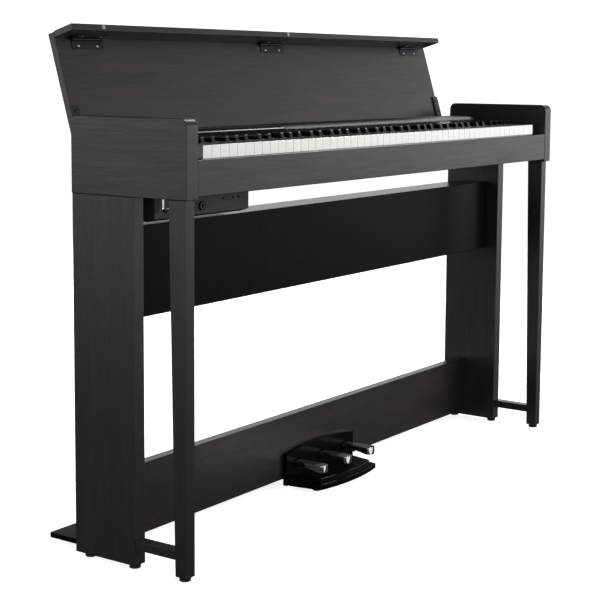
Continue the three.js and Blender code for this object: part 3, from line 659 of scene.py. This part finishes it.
class Keyboard:
    """Sizes of the keys, read from the frame."""

    def __init__(self):
        first_low, first_high = low_high("key_a0")
        black_low, black_high = low_high("key_a_sharp0")
        still_end = low_high("white_keys")[1][0]
        self.gap = 0.001
        self.side_room = 0.00125
        self.pitch = (2 * still_end + self.gap) / WHITE_COUNT
        self.start = -WHITE_COUNT * self.pitch / 2
        self.front, self.rear = first_low[1], first_high[1]
        self.bottom, self.top = first_low[2], first_high[2]
        self.black_half = (black_high[0] - black_low[0]) / 2
        self.black_front = black_low[1]
        self.black_bottom, self.black_top = black_low[2], black_high[2]
        self.notch = self.black_front - 0.0015
        self.fall = low_high("top_panel")[0][1]

    def white_left(self, index):
        return self.start + index * self.pitch

    def sharp(self, index):
        """The middle of the black key to the right of a white one, or None."""
        letter = LETTERS[index % 7]
        if letter not in SHARP_SHIFT or not 0 <= index < WHITE_COUNT - 1:
            return None
        return self.white_left(index + 1) + SHARP_SHIFT[letter]

    def white(self, index):
        """A white key: a rounded section carried back, narrowing at once where a black key begins.

        At angle a of the front's roll the section stands back by r (1 - cos a) and is lower by
        r (1 - sin a). The part under the top panel is a thinner lever.
        """
        x0 = self.white_left(index) + self.gap / 2
        x1 = self.white_left(index + 1) - self.gap / 2
        before, after = self.sharp(index - 1), self.sharp(index)
        reach = self.black_half + self.side_room
        tail0 = x0 if before is None else before + reach
        tail1 = x1 if after is None else after - reach
        roll = 0.0014
        lever = self.bottom + 0.0093
        rows = [(self.front + roll * (1 - math.cos(a)), x0, x1, self.top - roll * (1 - math.sin(a)))
                for a in np.linspace(0, math.pi / 2, 5)]
        rows += [(self.notch - 0.0004, x0, x1, self.top), (self.notch, x0 + 0.0003, x1 - 0.0003, self.top),
                 (self.notch, tail0, tail1, self.top), (self.fall + 0.003, tail0, tail1, self.top),
                 (self.fall + 0.0032, tail0, tail1, lever), (self.rear, tail0, tail1, lever)]
        radii = [0.0003, 0.0003, 0.0007, 0.0007]
        return lofted([(left, self.bottom, right, top, radii, y) for y, left, right, top in rows], "y", 3)

    def black(self, index):
        """A black key: a section that narrows upwards, its front sloping back and rolled into the top.

        The half width falls evenly from foot to crown, and the front leans back in proportion to height.
        """
        x = self.sharp(index)
        foot, crown, slope, roll = self.black_half, self.black_half - 0.001, 0.006, 0.0016
        rear = self.fall - 0.0013
        section = rounded_ring(-1, 0, 1, 1, [0.02, 0.02, 0.2, 0.2], 4)
        height = section[:, 1]
        rows = [(self.black_front + roll * (1 - math.cos(a)), slope, roll * (1 - math.sin(a)))
                for a in np.linspace(0, math.pi / 2, 7)]
        rings = []
        for y, lean, drop in rows + [(rear - 0.0004, 0, 0), (rear, 0, 0.0004)]:
            half = foot + (crown - foot) * height - 0.35 * drop
            z = self.black_bottom + height * (self.black_top - drop - self.black_bottom)
            rings.append(np.stack([x + section[:, 0] * half, y + lean * height, z], axis=-1))
        lever = slab((x - crown + 0.0005, rear - 0.002, self.black_bottom),
                     (x + crown - 0.0005, self.rear, self.top - 0.002), "y", 0.0003)
        return merged(grid(np.stack(rings)), lever)


class PIANO_OT_keyboard(Operator):
    """White and black keys"""

    bl_idname = "piano.keyboard"
    bl_label = "Keyboard"

    def execute(self, context):
        sizes = Keyboard()
        still_white, still_black = [], []
        for index in range(WHITE_COUNT):
            letter, octave = LETTERS[index % 7], (index + 5) // 7
            moving = index < MOVING_WHITES
            white = sizes.white(index)
            if moving:
                fine(f"key_{letter}{octave}", "ivory", white)
            else:
                still_white.append(white)
            if sizes.sharp(index) is None:
                continue
            black = sizes.black(index)
            if moving:
                fine(f"key_{letter}_sharp{octave}", "ebony", black)
            else:
                still_black.append(black)
        fine("white_keys", "ivory", *still_white)
        fine("black_keys", "ebony", *still_black)
        return {"FINISHED"}


# ---- lid
def on_lid(*surfaces):
    """Surfaces drawn with the lid closed, turned open about the lid's pivot."""
    return moved(merged(*surfaces), lambda points: turn_x(points, LID_PIVOT, LID_TURN))


class PIANO_OT_lid(Operator):
    """Lid panel, flap, lid arms and hinges"""

    bl_idname = "piano.lid"
    bl_label = "Lid"

    def execute(self, context):
        looks = context.scene.piano_looks
        edge = looks.board_edge
        low, high = closed_box("lid_panel")
        fine("lid_panel", "wood_x", on_lid(slab(low, high, "x", edge, [edge, 0.0015, 0.0015, 0.0015], 4)))
        low, high = closed_box("lid_flap")
        fine("lid_flap", "wood_x", on_lid(slab(low, high, "x", edge, [0.0012, 0.0012, edge, 0.002], 4)))
        self.buffers(low, high)
        for side, sign in SIDE_SIGN.items():
            self.arm(f"{side}_lid_arm", sign)
        for place in ("left", "middle", "right"):
            self.hinge(f"{place}_hinge_lid_leaf", f"{place}_hinge_flap_leaf", looks.hinge_screws)
        return {"FINISHED"}

    def buffers(self, low, high):
        """Two pale round buffers on the flap's edge, over the key slip when the lid is closed."""
        profile = [(0.0045, 0.0008), (0.0045, -0.0010), (0.0038, -0.0019), (0.0020, -0.0023),
                   (0.0001, -0.0024)]
        middle = (low[1] + high[1]) / 2
        places = (low[0] + 0.078, 0.004)
        dots = [turned(profile, (x, middle, low[2]), "z", 28) for x in places]
        extra("flap_buffers", "lid_flap", "buffer", on_lid(*dots))

    def arm(self, node, sign):
        """A lid arm: a screwed flange under the lid and a plate down to the pivot pin."""
        low, high = closed_box(node)
        lid_end = abs(closed_box("lid_panel")[1][0])
        thick, half, run_in = 0.003, 0.012, 0.0185
        plate_out = sign * (lid_end + 0.0005 + thick)
        plate_in = plate_out - sign * thick
        inner = plate_out - sign * (run_in + thick)
        pivot_y, pivot_z = LID_PIVOT[1], LID_PIVOT[2]
        pivot = (0, pivot_y, pivot_z)
        flange = slab((min(inner, plate_out), low[1], high[2] - thick),
                      (max(inner, plate_out), high[1], high[2]), "z", 0.0005, [0.004] * 4, 4)
        plate = slab((min(plate_in, plate_out), pivot_y - half, pivot_z - half),
                     (max(plate_in, plate_out), pivot_y + half, high[2] - 0.0005),
                     "x", 0.0004, [half - 0.0002, half - 0.0002, 0.001, 0.001], 8)
        x0, x1 = sorted((plate_in, low[0] if sign < 0 else high[0]))
        pin = turned([(0.0034, x0), (0.004, x0 + 0.0006), (0.004, x1 - 0.0006), (0.0034, x1)],
                     pivot, "x", 32)
        washer = turned([(0.0075, plate_in - sign * 0.0012), (0.0085, plate_in - sign * 0.0009),
                         (0.0085, plate_in + sign * 0.0002)], pivot, "x", 36)
        fine(node, "black_metal", on_lid(flange, plate, pin, washer))
        middle = (inner + plate_in) / 2
        heads = [screw((middle, y, high[2] - thick), "z", 0.0034, 0.0012, -1)
                 for y in (low[1] + 0.010, low[1] + 0.036, high[1] - 0.036, high[1] - 0.010)]
        extra(node + "_screws", node, "black_metal", on_lid(*heads))

    def hinge(self, lid_node, flap_node, count):
        """A butt hinge: one leaf under the lid, one behind the flap, barrels in three on one pin."""
        low, high = closed_box(lid_node)
        flap_low = closed_box(flap_node)[0]
        axis_y, axis_z = turn_x(FLAP_PIVOT, LID_PIVOT, -LID_TURN)[1:]
        axis = (0, axis_y, axis_z)
        barrel, leaf, corners, gap = 0.0025, 0.0012, [0.0018] * 4, 0.0004
        x0, x1 = low[0], high[0]
        third = (x1 - x0) / 3
        middle0, middle1 = x0 + third + gap / 2, x1 - third - gap / 2

        def knuckle(start, end):
            profile = [(barrel * 0.86, start), (barrel, start + 0.0004), (barrel, end - 0.0004),
                       (barrel * 0.86, end)]
            return turned(profile, axis, "x", 28)

        plate = slab((x0, axis_y + 0.0010, high[2] - leaf), high, "z", 0.0003, corners)
        ends = [knuckle(x0, x0 + third - gap), knuckle(x1 - third + gap, x1)]
        fine(lid_node, "black_metal", on_lid(plate, *ends))
        pin = turned([(0.0009, x0), (0.0012, x0 + 0.0004), (0.0012, x1 - 0.0004), (0.0009, x1)],
                     axis, "x", 20)
        behind = flap_low[1] + leaf
        flap_plate = slab((x0, flap_low[1], flap_low[2]), (x1, behind, axis_z - 0.0030),
                          "y", 0.0003, corners)
        neck = slab((middle0, flap_low[1], axis_z - 0.006), (middle1, behind, axis_z), "y", 0.0002)
        fine(flap_node, "black_metal", on_lid(flap_plate, neck, knuckle(middle0, middle1), pin))
        row = np.linspace(x0 + 0.016, x1 - 0.016, count)
        lid_heads = [screw((x, high[1] - 0.006, high[2] - leaf), "z", 0.0029, 0.0009, -1) for x in row]
        flap_heads = [screw((x, behind, flap_low[2] + 0.006), "y", 0.0029, 0.0009) for x in row]
        extra(lid_node + "_screws", lid_node, "steel", on_lid(*lid_heads))
        extra(flap_node + "_screws", flap_node, "steel", on_lid(*flap_heads))


# ---- stand
class PIANO_OT_stand(Operator):
    """Legs, tapered posts, stretchers, feet and back boards"""

    bl_idname = "piano.stand"
    bl_label = "Stand"

    def execute(self, context):
        looks = context.scene.piano_looks
        edge = looks.board_edge
        for side in SIDE_SIGN:
            board(f"{side}_leg", "wood_z", "z", edge, steps=4)
            self.post(f"{side}_front_post", edge)
            board(f"{side}_stretcher", "wood_y", "y", edge)
            for foot in ("leg_front_foot", "leg_rear_foot", "post_foot"):
                self.foot(f"{side}_{foot}")
        self.lower_board(edge)
        corners = [edge, edge, looks.base_corner, looks.base_corner]
        # The rear base board takes the black laminate rather than the wood: painted shade for the dark it shows
        # low at the back.
        board("rear_base_board", "black_board", "z", edge, corners, 6)
        return {"FINISHED"}

    def post(self, node, edge):
        """A board whose rear face leans: its depth grows evenly from the foot's to the top's."""
        low, high = low_high(node)
        points = node_points(node)
        foot_depth = points[points[:, 2] < low[2] + 1e-4][:, 1].max() - low[1]
        top_depth = high[1] - low[1]

        def lean(some):
            rise = (some[:, 2] - low[2]) / (high[2] - low[2])
            depth = foot_depth + (top_depth - foot_depth) * rise
            behind = some[:, 1] > (low[1] + high[1]) / 2
            leaned = some.copy()
            leaned[:, 1] = np.where(behind, some[:, 1] - top_depth + depth, some[:, 1])
            return leaned

        fine(node, "wood_z", moved(slab(low, high, "z", edge, None, 4), lean))

    def foot(self, node):
        """A rubber glide with a rolled lower edge and a narrower neck."""
        centre, radius, bottom, top = upright_disc(node)
        roll = 0.0015
        profile = [(radius * 0.02, bottom)]
        profile += [(radius - roll + roll * math.sin(a), bottom + roll * (1 - math.cos(a)))
                    for a in np.linspace(0, math.pi / 2, 6)]
        profile += [(radius, top - 0.0018), (radius * 0.82, top - 0.0014), (radius * 0.82, top)]
        fine(node, "rubber", turned(profile, centre, "z", 48))

    def lower_board(self, edge):
        """The back board with its pedal cut-out, and the bolts that hold it to the legs."""
        refined("lower_back_board", "wood_x", edge, 3)
        low, high = low_high("lower_back_board")
        heads = [screw((x, low[1], z), "y", 0.0042, 0.0009, -1)
                 for x in (0.020 - high[0], high[0] - 0.020)
                 for z in (low[2] + 0.0085, high[2] - 0.0187)]
        extra("back_board_bolts", "lower_back_board", "black_metal", *heads)


# ---- speaker box and jack box
class PIANO_OT_speakers(Operator):
    """Speaker box and its two drivers"""

    bl_idname = "piano.speakers"
    bl_label = "Speakers"

    def execute(self, context):
        refined("speaker_box", "black_board", context.scene.piano_looks.board_edge, 3)
        for side in SIDE_SIGN:
            self.driver(f"{side}_speaker")
        return {"FINISHED"}

    def driver(self, node):
        """A driver facing the rear: steel basket, rolled rubber surround, paper cone and dust cap.

        The surround rises as a half ellipse, the cone falls by t^1.4 over its slope t, and the cap is a
        quarter ellipse.
        """
        low, high = low_high(node)
        x, z = (low[0] + high[0]) / 2, (low[2] + high[2]) / 2
        face = high[1]
        radius = (high[0] - low[0]) / 2
        deep = face - 0.020

        def part(*profile):
            """A turned part from (share of the radius, place along Y) pairs."""
            return turned([(radius * share, place) for share, place in profile], (x, 0, z), "y", 72)

        basket = part((0.44, low[1]), (0.47, low[1] + 0.001), (0.47, low[1] + 0.012), (0.84, face - 0.012),
                      (0.84, face - 0.0030), (0.99, face - 0.0030), (1, face - 0.0022), (1, face - 0.0006),
                      (0.98, face), (0.86, face), (0.74, face - 0.004), (0.74, deep - 0.001),
                      (0.02, deep - 0.001))
        fold = [(0.77 - 0.065 * math.cos(a), face - 0.0022 + 0.0022 * math.sin(a))
                for a in np.linspace(0, math.pi, 12)]
        surround = part((0.84, face - 0.0060), *fold, (0.70, face - 0.0060))
        cone = [(0.71 - 0.47 * t, face - 0.0030 - 0.012 * t ** 1.4) for t in np.linspace(0, 1, 14)]
        cap = [(0.24 * math.cos(a), face - 0.0135 + 0.006 * math.sin(a))
               for a in np.linspace(0, math.pi / 2 - 0.02, 10)]
        fine(node, "black_metal", basket)
        extra(node + "_surround", node, "rubber", surround)
        extra(node + "_cone", node, "cone", part((0.71, deep), *cone, *cap))
        bolt_circle = radius * 0.92
        heads = [screw((x + bolt_circle * math.cos(a), face, z + bolt_circle * math.sin(a)),
                       "y", 0.0026, 0.0010)
                 for a in np.arange(4) * math.pi / 2 + math.pi / 4]
        extra(node + "_screws", node, "steel", *heads)


class PIANO_OT_jacks(Operator):
    """Jack box with its socket rings, and the headphone hook"""

    bl_idname = "piano.jacks"
    bl_label = "Jack box"

    def execute(self, context):
        refined("jack_box", "charcoal", 0.0008, 3)
        self.rings()
        self.hook()
        return {"FINISHED"}

    def rings(self):
        """A turned collar with a dished face and a steel lip round each headphone socket."""
        openings = {row["name"]: np.array(row["box_m"]) for row in frame["record"]["physics"]["openings"]}
        front = low_high("jack_box")[0][1]
        collar = [(0.0037, 0.006), (0.0037, 0.0008), (0.0052, 0.0006), (0.0066, 0.0012), (0.0070, 0),
                  (0.0074, -0.0004), (0.0084, -0.0004), (0.0087, 0), (0.0087, 0.004)]
        lip = [(0.0030, 0.005), (0.0030, 0.0005), (0.0033, 0.0002), (0.0037, 0.0005), (0.0037, 0.005)]
        middles = [openings[f"{side}_headphone_socket"].mean(0)[[0, 2]] for side in SIDE_SIGN]
        for name, finish, profile in (("socket_collars", "gloss", collar), ("socket_lips", "steel", lip)):
            extra(name, "jack_box", finish, *[ring_round(profile, (x, front, z)) for x, z in middles])

    def hook(self):
        """A chromed wire hook: straight down from the key bed, then half a circle up to a ball."""
        low, high = low_high("headphone_hook")
        radius = (high[0] - low[0]) / 2
        x = (low[0] + high[0]) / 2
        back, fore = high[1] - radius, low[1] + radius
        bend = (back - fore) / 2
        bend_top = low[2] + radius + bend
        drop = high[2] - bend_top
        path = [(x, back, high[2] - drop * t) for t in np.linspace(0, 1, 8)[:-1]]
        path += [(x, back - bend * (1 - math.cos(a)), bend_top - bend * math.sin(a))
                 for a in np.linspace(0, math.pi, 24)]
        wire = swept(np.array(path), radius, 20)
        fine("headphone_hook", "chrome", wire, ball((x, fore, bend_top), radius))


def ball(centre, radius, rows=10, segments=20):
    """A sphere of rings at angle a, each r cos a wide and r sin a high."""
    a = np.linspace(-math.pi / 2 + 0.05, math.pi / 2 - 0.05, rows)
    return turned(np.stack([radius * np.cos(a), radius * np.sin(a)], axis=-1), centre, "z", segments)


def ring_round(profile, centre, segments=40):
    """A ring whose (radius, height) section closes on itself, turned about Y."""
    profile = np.array(profile)
    angle = np.arange(segments) * 2 * math.pi / segments
    points = in_axes(profile[:, :1] * np.cos(angle), profile[:, :1] * np.sin(angle),
                     np.repeat(profile[:, 1:], segments, axis=1), "y") + np.array(centre)
    index = np.arange(len(profile) * segments).reshape(-1, segments)
    down, over = np.roll(index, -1, axis=0), np.roll(index, -1, axis=1)
    both = np.roll(down, -1, axis=1)
    faces = np.stack([index, over, both, down], axis=-1).reshape(-1, 4).tolist()
    return outward(points.reshape(-1, 3), faces)


# ---- pedals
class PIANO_OT_pedals(Operator):
    """Pedal plate, base, axle and the three pedals"""

    bl_idname = "piano.pedals"
    bl_label = "Pedals"

    def execute(self, context):
        refined("pedal_plate", "housing", 0.0009, 3)
        dress("pedal_axle", "chrome")
        self.base()
        for side in ("left", "middle", "right"):
            self.pedal(f"{side}_pedal")
        return {"FINISHED"}

    def pedal(self, node):
        """A pedal: a section carried back from a rounded nose along sides that narrow to a neck.

        Near the tip the half width follows an ellipse, w (1 - (d / nose)^2)^0.5 with d the distance left
        to the end of the nose. Further back it goes to the neck by a smooth step. The underside is level
        under the toe, then rises to the neck.
        """
        low, high = low_high(node)
        x = (low[0] + high[0]) / 2
        wide, neck, nose = (high[0] - low[0]) / 2, 0.010, 0.009
        nose_end = low[1] + nose
        waist = low_high("pedal_plate")[0][1] - 0.014
        waist_run = 0.018
        waist_start = waist - waist_run
        toe_end, rise_end = low[1] + 0.013, low[1] + 0.040
        neck_bottom = high[2] - 0.010
        turn = np.linspace(0.06, math.pi / 2, 16)
        y = np.concatenate([low[1] + nose * (1 - np.cos(turn)), np.linspace(nose_end, waist_start, 22)[1:],
                            np.linspace(waist_start, waist, 10)[1:], [high[1]]])
        ahead = np.clip((nose_end - y) / nose, 0, 1)
        back = np.clip((y - waist_start) / waist_run, 0, 1)
        half = wide * np.sqrt(1 - ahead ** 2 + 1e-6) + (neck - wide) * (3 * back ** 2 - 2 * back ** 3)
        bottom = low[2] + (neck_bottom - low[2]) * np.clip((y - toe_end) / (rise_end - toe_end), 0, 1)
        top = high[2] - 0.0006 * np.clip(1 - (y - low[1]) / 0.004, 0, 1)
        corner = np.minimum(0.0022, half * 0.4)
        under = np.minimum(0.0012, corner)
        stations = [(x - h, b, x + h, t, [u, u, c, c], place)
                    for h, b, t, u, c, place in zip(half, bottom, top, under, corner, y)]
        fine(node, "chrome", lofted(stations, "y", 4), sharp=math.radians(50))

    def base(self):
        """The stepped base: its outline carried up through two tiers, each edge rolled.

        The front bows out by bow (1 - t^2) across the width, and the sides run straight to the rear.
        """
        low, high = low_high("pedal_base")
        rear = high[1]
        half_rear = high[0]
        bow, flare, roll, tier, groove = 0.012, 0.012, 0.0022, 0.010, 0.0008
        foot_top = low[2] + 0.005
        lower_top = high[2] - 0.008

        def ring(inset, z):
            corner_y = low[1] + bow + inset
            half_front = half_rear - flare - inset
            t = np.linspace(-1, 1, 41)
            along = np.linspace(0, 1, 12)[1:]
            right_x = half_front + (half_rear - inset - half_front) * along
            side_y = corner_y + (rear - corner_y) * along
            xs = np.concatenate([half_front * t, right_x, -right_x[::-1]])
            ys = np.concatenate([corner_y - bow * (1 - t ** 2), side_y, side_y[::-1]])
            return np.stack([xs, ys, np.full(len(xs), z)], axis=-1)

        turn = np.linspace(0, math.pi / 2, 5)
        levels = [(roll * (1 - math.sin(a)), foot_top + roll * (1 - math.cos(a))) for a in turn]
        levels += [(roll * (1 - math.cos(a)), lower_top - roll + roll * math.sin(a)) for a in turn]
        levels += [(tier - 0.003, lower_top), (tier - 0.0028, lower_top - groove),
                   (tier - 0.0006, lower_top - groove), (tier, lower_top)]
        levels += [(tier + roll * (1 - math.cos(a)), high[2] - roll + roll * math.sin(a)) for a in turn]
        shell = grid(np.stack([ring(inset, z) for inset, z in levels]))
        profile = [(0.0072, low[2]), (0.008, low[2] + 0.0008), (0.008, foot_top + 0.001)]
        feet = [turned(profile, (sign * (half_rear - 0.026), y, 0), "z", 32)
                for sign in (-1, 1) for y in (low[1] + bow + 0.020, rear - 0.008)]
        fine("pedal_base", "housing", shell, *feet)


# ---- stage
class PIANO_OT_stage(Operator):
    """Floor, world light, lamps, cards for the gloss, and camera"""

    bl_idname = "piano.stage"
    bl_label = "Stage"

    def execute(self, context):
        stage = context.scene.piano_stage
        context.scene.view_settings.view_transform = "Standard"
        self.world(context.scene, stage)
        self.backdrop(stage)
        self.lamp("front_light", (2.2, -3.0, 1.9), (0.1, 0, 0.45), 2.0, 1.6, stage.key_power, False)
        self.lamp("side_light", (-3.4, -0.1, 2.5), (-0.4, 0, 0.4), 1.6, 1.6, stage.side_power, False)
        self.lamp("back_light", (1.6, 3.4, 1.7), (0, 0, 0.5), 2.0, 1.4, stage.back_power, False)
        self.lamp("right_light", (3.3, 0.75, 2.9), (0.0, 0, 0.7), 1.3, 1.0, stage.rim_power, True)
        upright = [(-1.0, 0.5, 0.14), (-0.06, 0.5, 0.14), (-0.06, 0.5, 0.74), (-1.0, 0.5, 0.74)]
        flat = [(-0.09, -0.31, 0.001), (0.23, -0.31, 0.001), (0.23, -0.20, 0.001), (-0.09, -0.20, 0.001)]
        self.card("dark_card", upright, 0)
        self.card("pale_card", flat, 0.95)
        self.camera(context.scene, stage)
        return {"FINISHED"}

    def world(self, scene, stage):
        """A pale band round the horizon that fades to a dim ceiling above and a dark room below.

        Each level is a brightness at a height, and heights run from -1 straight down to 1 straight up.
        """
        world = bpy.data.worlds.new("studio")
        world.use_nodes = True
        tree = world.node_tree
        background = tree.nodes["Background"]
        place = tree.nodes.new("ShaderNodeTexCoord")
        split = tree.nodes.new("ShaderNodeSeparateXYZ")
        ramp = tree.nodes.new("ShaderNodeValToRGB")
        span = tree.nodes.new("ShaderNodeMapRange")
        span.inputs["From Min"].default_value = -1
        tree.links.new(place.outputs["Generated"], split.inputs[0])
        tree.links.new(split.outputs["Z"], span.inputs["Value"])
        tree.links.new(span.outputs["Result"], ramp.inputs["Fac"])
        tree.links.new(ramp.outputs["Color"], background.inputs["Color"])
        levels = ((-0.45, 0.01), (-0.26, 0.02), (-0.12, 0.12), (-0.035, 0.96), (0.01, 1.06), (0.12, 0.88),
                  (0.28, 0.34), (0.42, 0.15), (0.56, 0.08), (1.0, 0.05))
        while len(ramp.color_ramp.elements) < len(levels):
            ramp.color_ramp.elements.new(0.5)
        for stop, (height, level) in zip(ramp.color_ramp.elements, levels):
            stop.position = (height + 1) / 2
            stop.color = (0.975 * level, 0.985 * level, level, 1)
        background.inputs["Strength"].default_value = stage.sky_power
        scene.world = world

    def backdrop(self, stage):
        """A floor swept up into a round wall and ceiling, seen by the camera only.

        The profile is a level line, a quarter circle and an upright line, turned about Z and closed
        overhead.
        """
        hub, floor_end, bend, ceiling = 0.05, 9.0, 3.0, 9.0
        profile = [(hub, 0.0), (3.0, 0.0), (floor_end, 0.0)]
        profile += [(floor_end + bend * math.sin(a), bend * (1 - math.cos(a)))
                    for a in np.linspace(0, math.pi / 2, 12)[1:]]
        profile += [(floor_end + bend, ceiling), (hub, ceiling)]
        points, faces = turned(profile, (0, 0, 0), "z", 96)
        finish = Finish("backdrop_paint")
        colour = tuple(stage.floor_colour)
        shaded = tuple(0.99 * c for c in colour)
        finish.feed("Base Color", finish.ramp(finish.noise(3), (0.3, colour), (0.7, shaded)))
        finish.set(Roughness=0.9, Specular_IOR_Level=0.0)
        finish.set(Emission_Color=(1, 1, 1, 1), Emission_Strength=0.85)
        self.scenery("backdrop", points.tolist(), faces, finish).visible_glossy = False

    def card(self, name, corners, glow):
        """A flat card seen only in gloss: a black one darkens what mirrors it, a glowing one lights it."""
        finish = Finish(name + "_paper")
        finish.feed("Base Color", finish.ramp(finish.noise(4), (0.3, (0.002,) * 3), (0.7, (0.003,) * 3)))
        finish.set(Roughness=1, Specular_IOR_Level=0, Emission_Color=(1, 1, 1, 1), Emission_Strength=glow)
        self.scenery(name, corners, [(0, 1, 2, 3)], finish).visible_camera = False

    def scenery(self, name, points, faces, finish):
        """A part of the stage that casts no shadow and gives matt surfaces no light."""
        mesh = bpy.data.meshes.new(name)
        mesh.from_pydata(points, [], faces)
        mesh.materials.append(finish.material)
        made = bpy.data.objects.new(name, mesh)
        bpy.context.scene.collection.objects.link(made)
        made.visible_diffuse = made.visible_shadow = made.visible_transmission = False
        return made

    def lamp(self, name, place, aim, width, height, power, mirrored):
        """A soft rectangular lamp aimed at a point.

        A mirrored one shows only in gloss, and any other lights only matt surfaces.
        """
        light = bpy.data.lights.new(name, "AREA")
        light.shape = "RECTANGLE"
        light.size, light.size_y = width, height
        light.energy = power
        made = bpy.data.objects.new(name, light)
        made.location = place
        made.rotation_euler = (Vector(aim) - Vector(place)).to_track_quat("-Z", "Y").to_euler()
        made.visible_glossy = mirrored
        made.visible_diffuse = not mirrored
        bpy.context.scene.collection.objects.link(made)

    def camera(self, scene, stage):
        """A camera turned by yaw, then pitch, then rolled about its line of sight."""
        data = bpy.data.cameras.new("camera")
        data.sensor_width = 36
        data.lens = stage.camera_lens
        data.shift_x, data.shift_y = stage.camera_shift
        data.clip_end = 100
        made = bpy.data.objects.new("camera", data)
        yaw, pitch = stage.camera_yaw, stage.camera_pitch
        ahead = Vector((math.sin(yaw) * math.cos(pitch), math.cos(yaw) * math.cos(pitch), math.sin(pitch)))
        right = Vector((math.cos(yaw), -math.sin(yaw), 0))
        up = right.cross(ahead)
        c, s = math.cos(stage.camera_roll), math.sin(stage.camera_roll)
        right, up = right * c + up * s, up * c - right * s
        turn = Matrix((right, up, -ahead)).transposed()
        made.matrix_world = Matrix.Translation(stage.camera_place) @ turn.to_4x4()
        scene.collection.objects.link(made)
        scene.camera = made


# ---- panel and registration
OPERATORS = (PIANO_OT_finishes, PIANO_OT_stage, PIANO_OT_case, PIANO_OT_controls, PIANO_OT_keyboard,
             PIANO_OT_lid, PIANO_OT_stand, PIANO_OT_speakers, PIANO_OT_jacks, PIANO_OT_pedals)


class PIANO_PT_panel(Panel):
    """Lists the settings and the steps"""

    bl_label = "Digital Piano"
    bl_idname = "PIANO_PT_panel"
    bl_space_type = "VIEW_3D"
    bl_region_type = "UI"
    bl_category = "Piano"

    def draw(self, context):
        for settings in (context.scene.piano_looks, context.scene.piano_stage):
            for name in settings.bl_rna.properties.keys():
                if name not in ("rna_type", "name"):
                    self.layout.prop(settings, name)
        for operator in OPERATORS:
            self.layout.operator(operator.bl_idname)


CLASSES = (PianoLooks, StageLooks, *OPERATORS, PIANO_PT_panel)


def register():
    for cls in CLASSES:
        bpy.utils.register_class(cls)
    bpy.types.Scene.piano_looks = PointerProperty(type=PianoLooks)
    bpy.types.Scene.piano_stage = PointerProperty(type=StageLooks)


def unregister():
    del bpy.types.Scene.piano_stage
    del bpy.types.Scene.piano_looks
    for cls in reversed(CLASSES):
        bpy.utils.unregister_class(cls)


def main():
    """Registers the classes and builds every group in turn."""
    register()
    for operator in OPERATORS:
        getattr(bpy.ops.piano, operator.bl_idname.split(".")[1])()


if __name__ == "__main__":
    main()
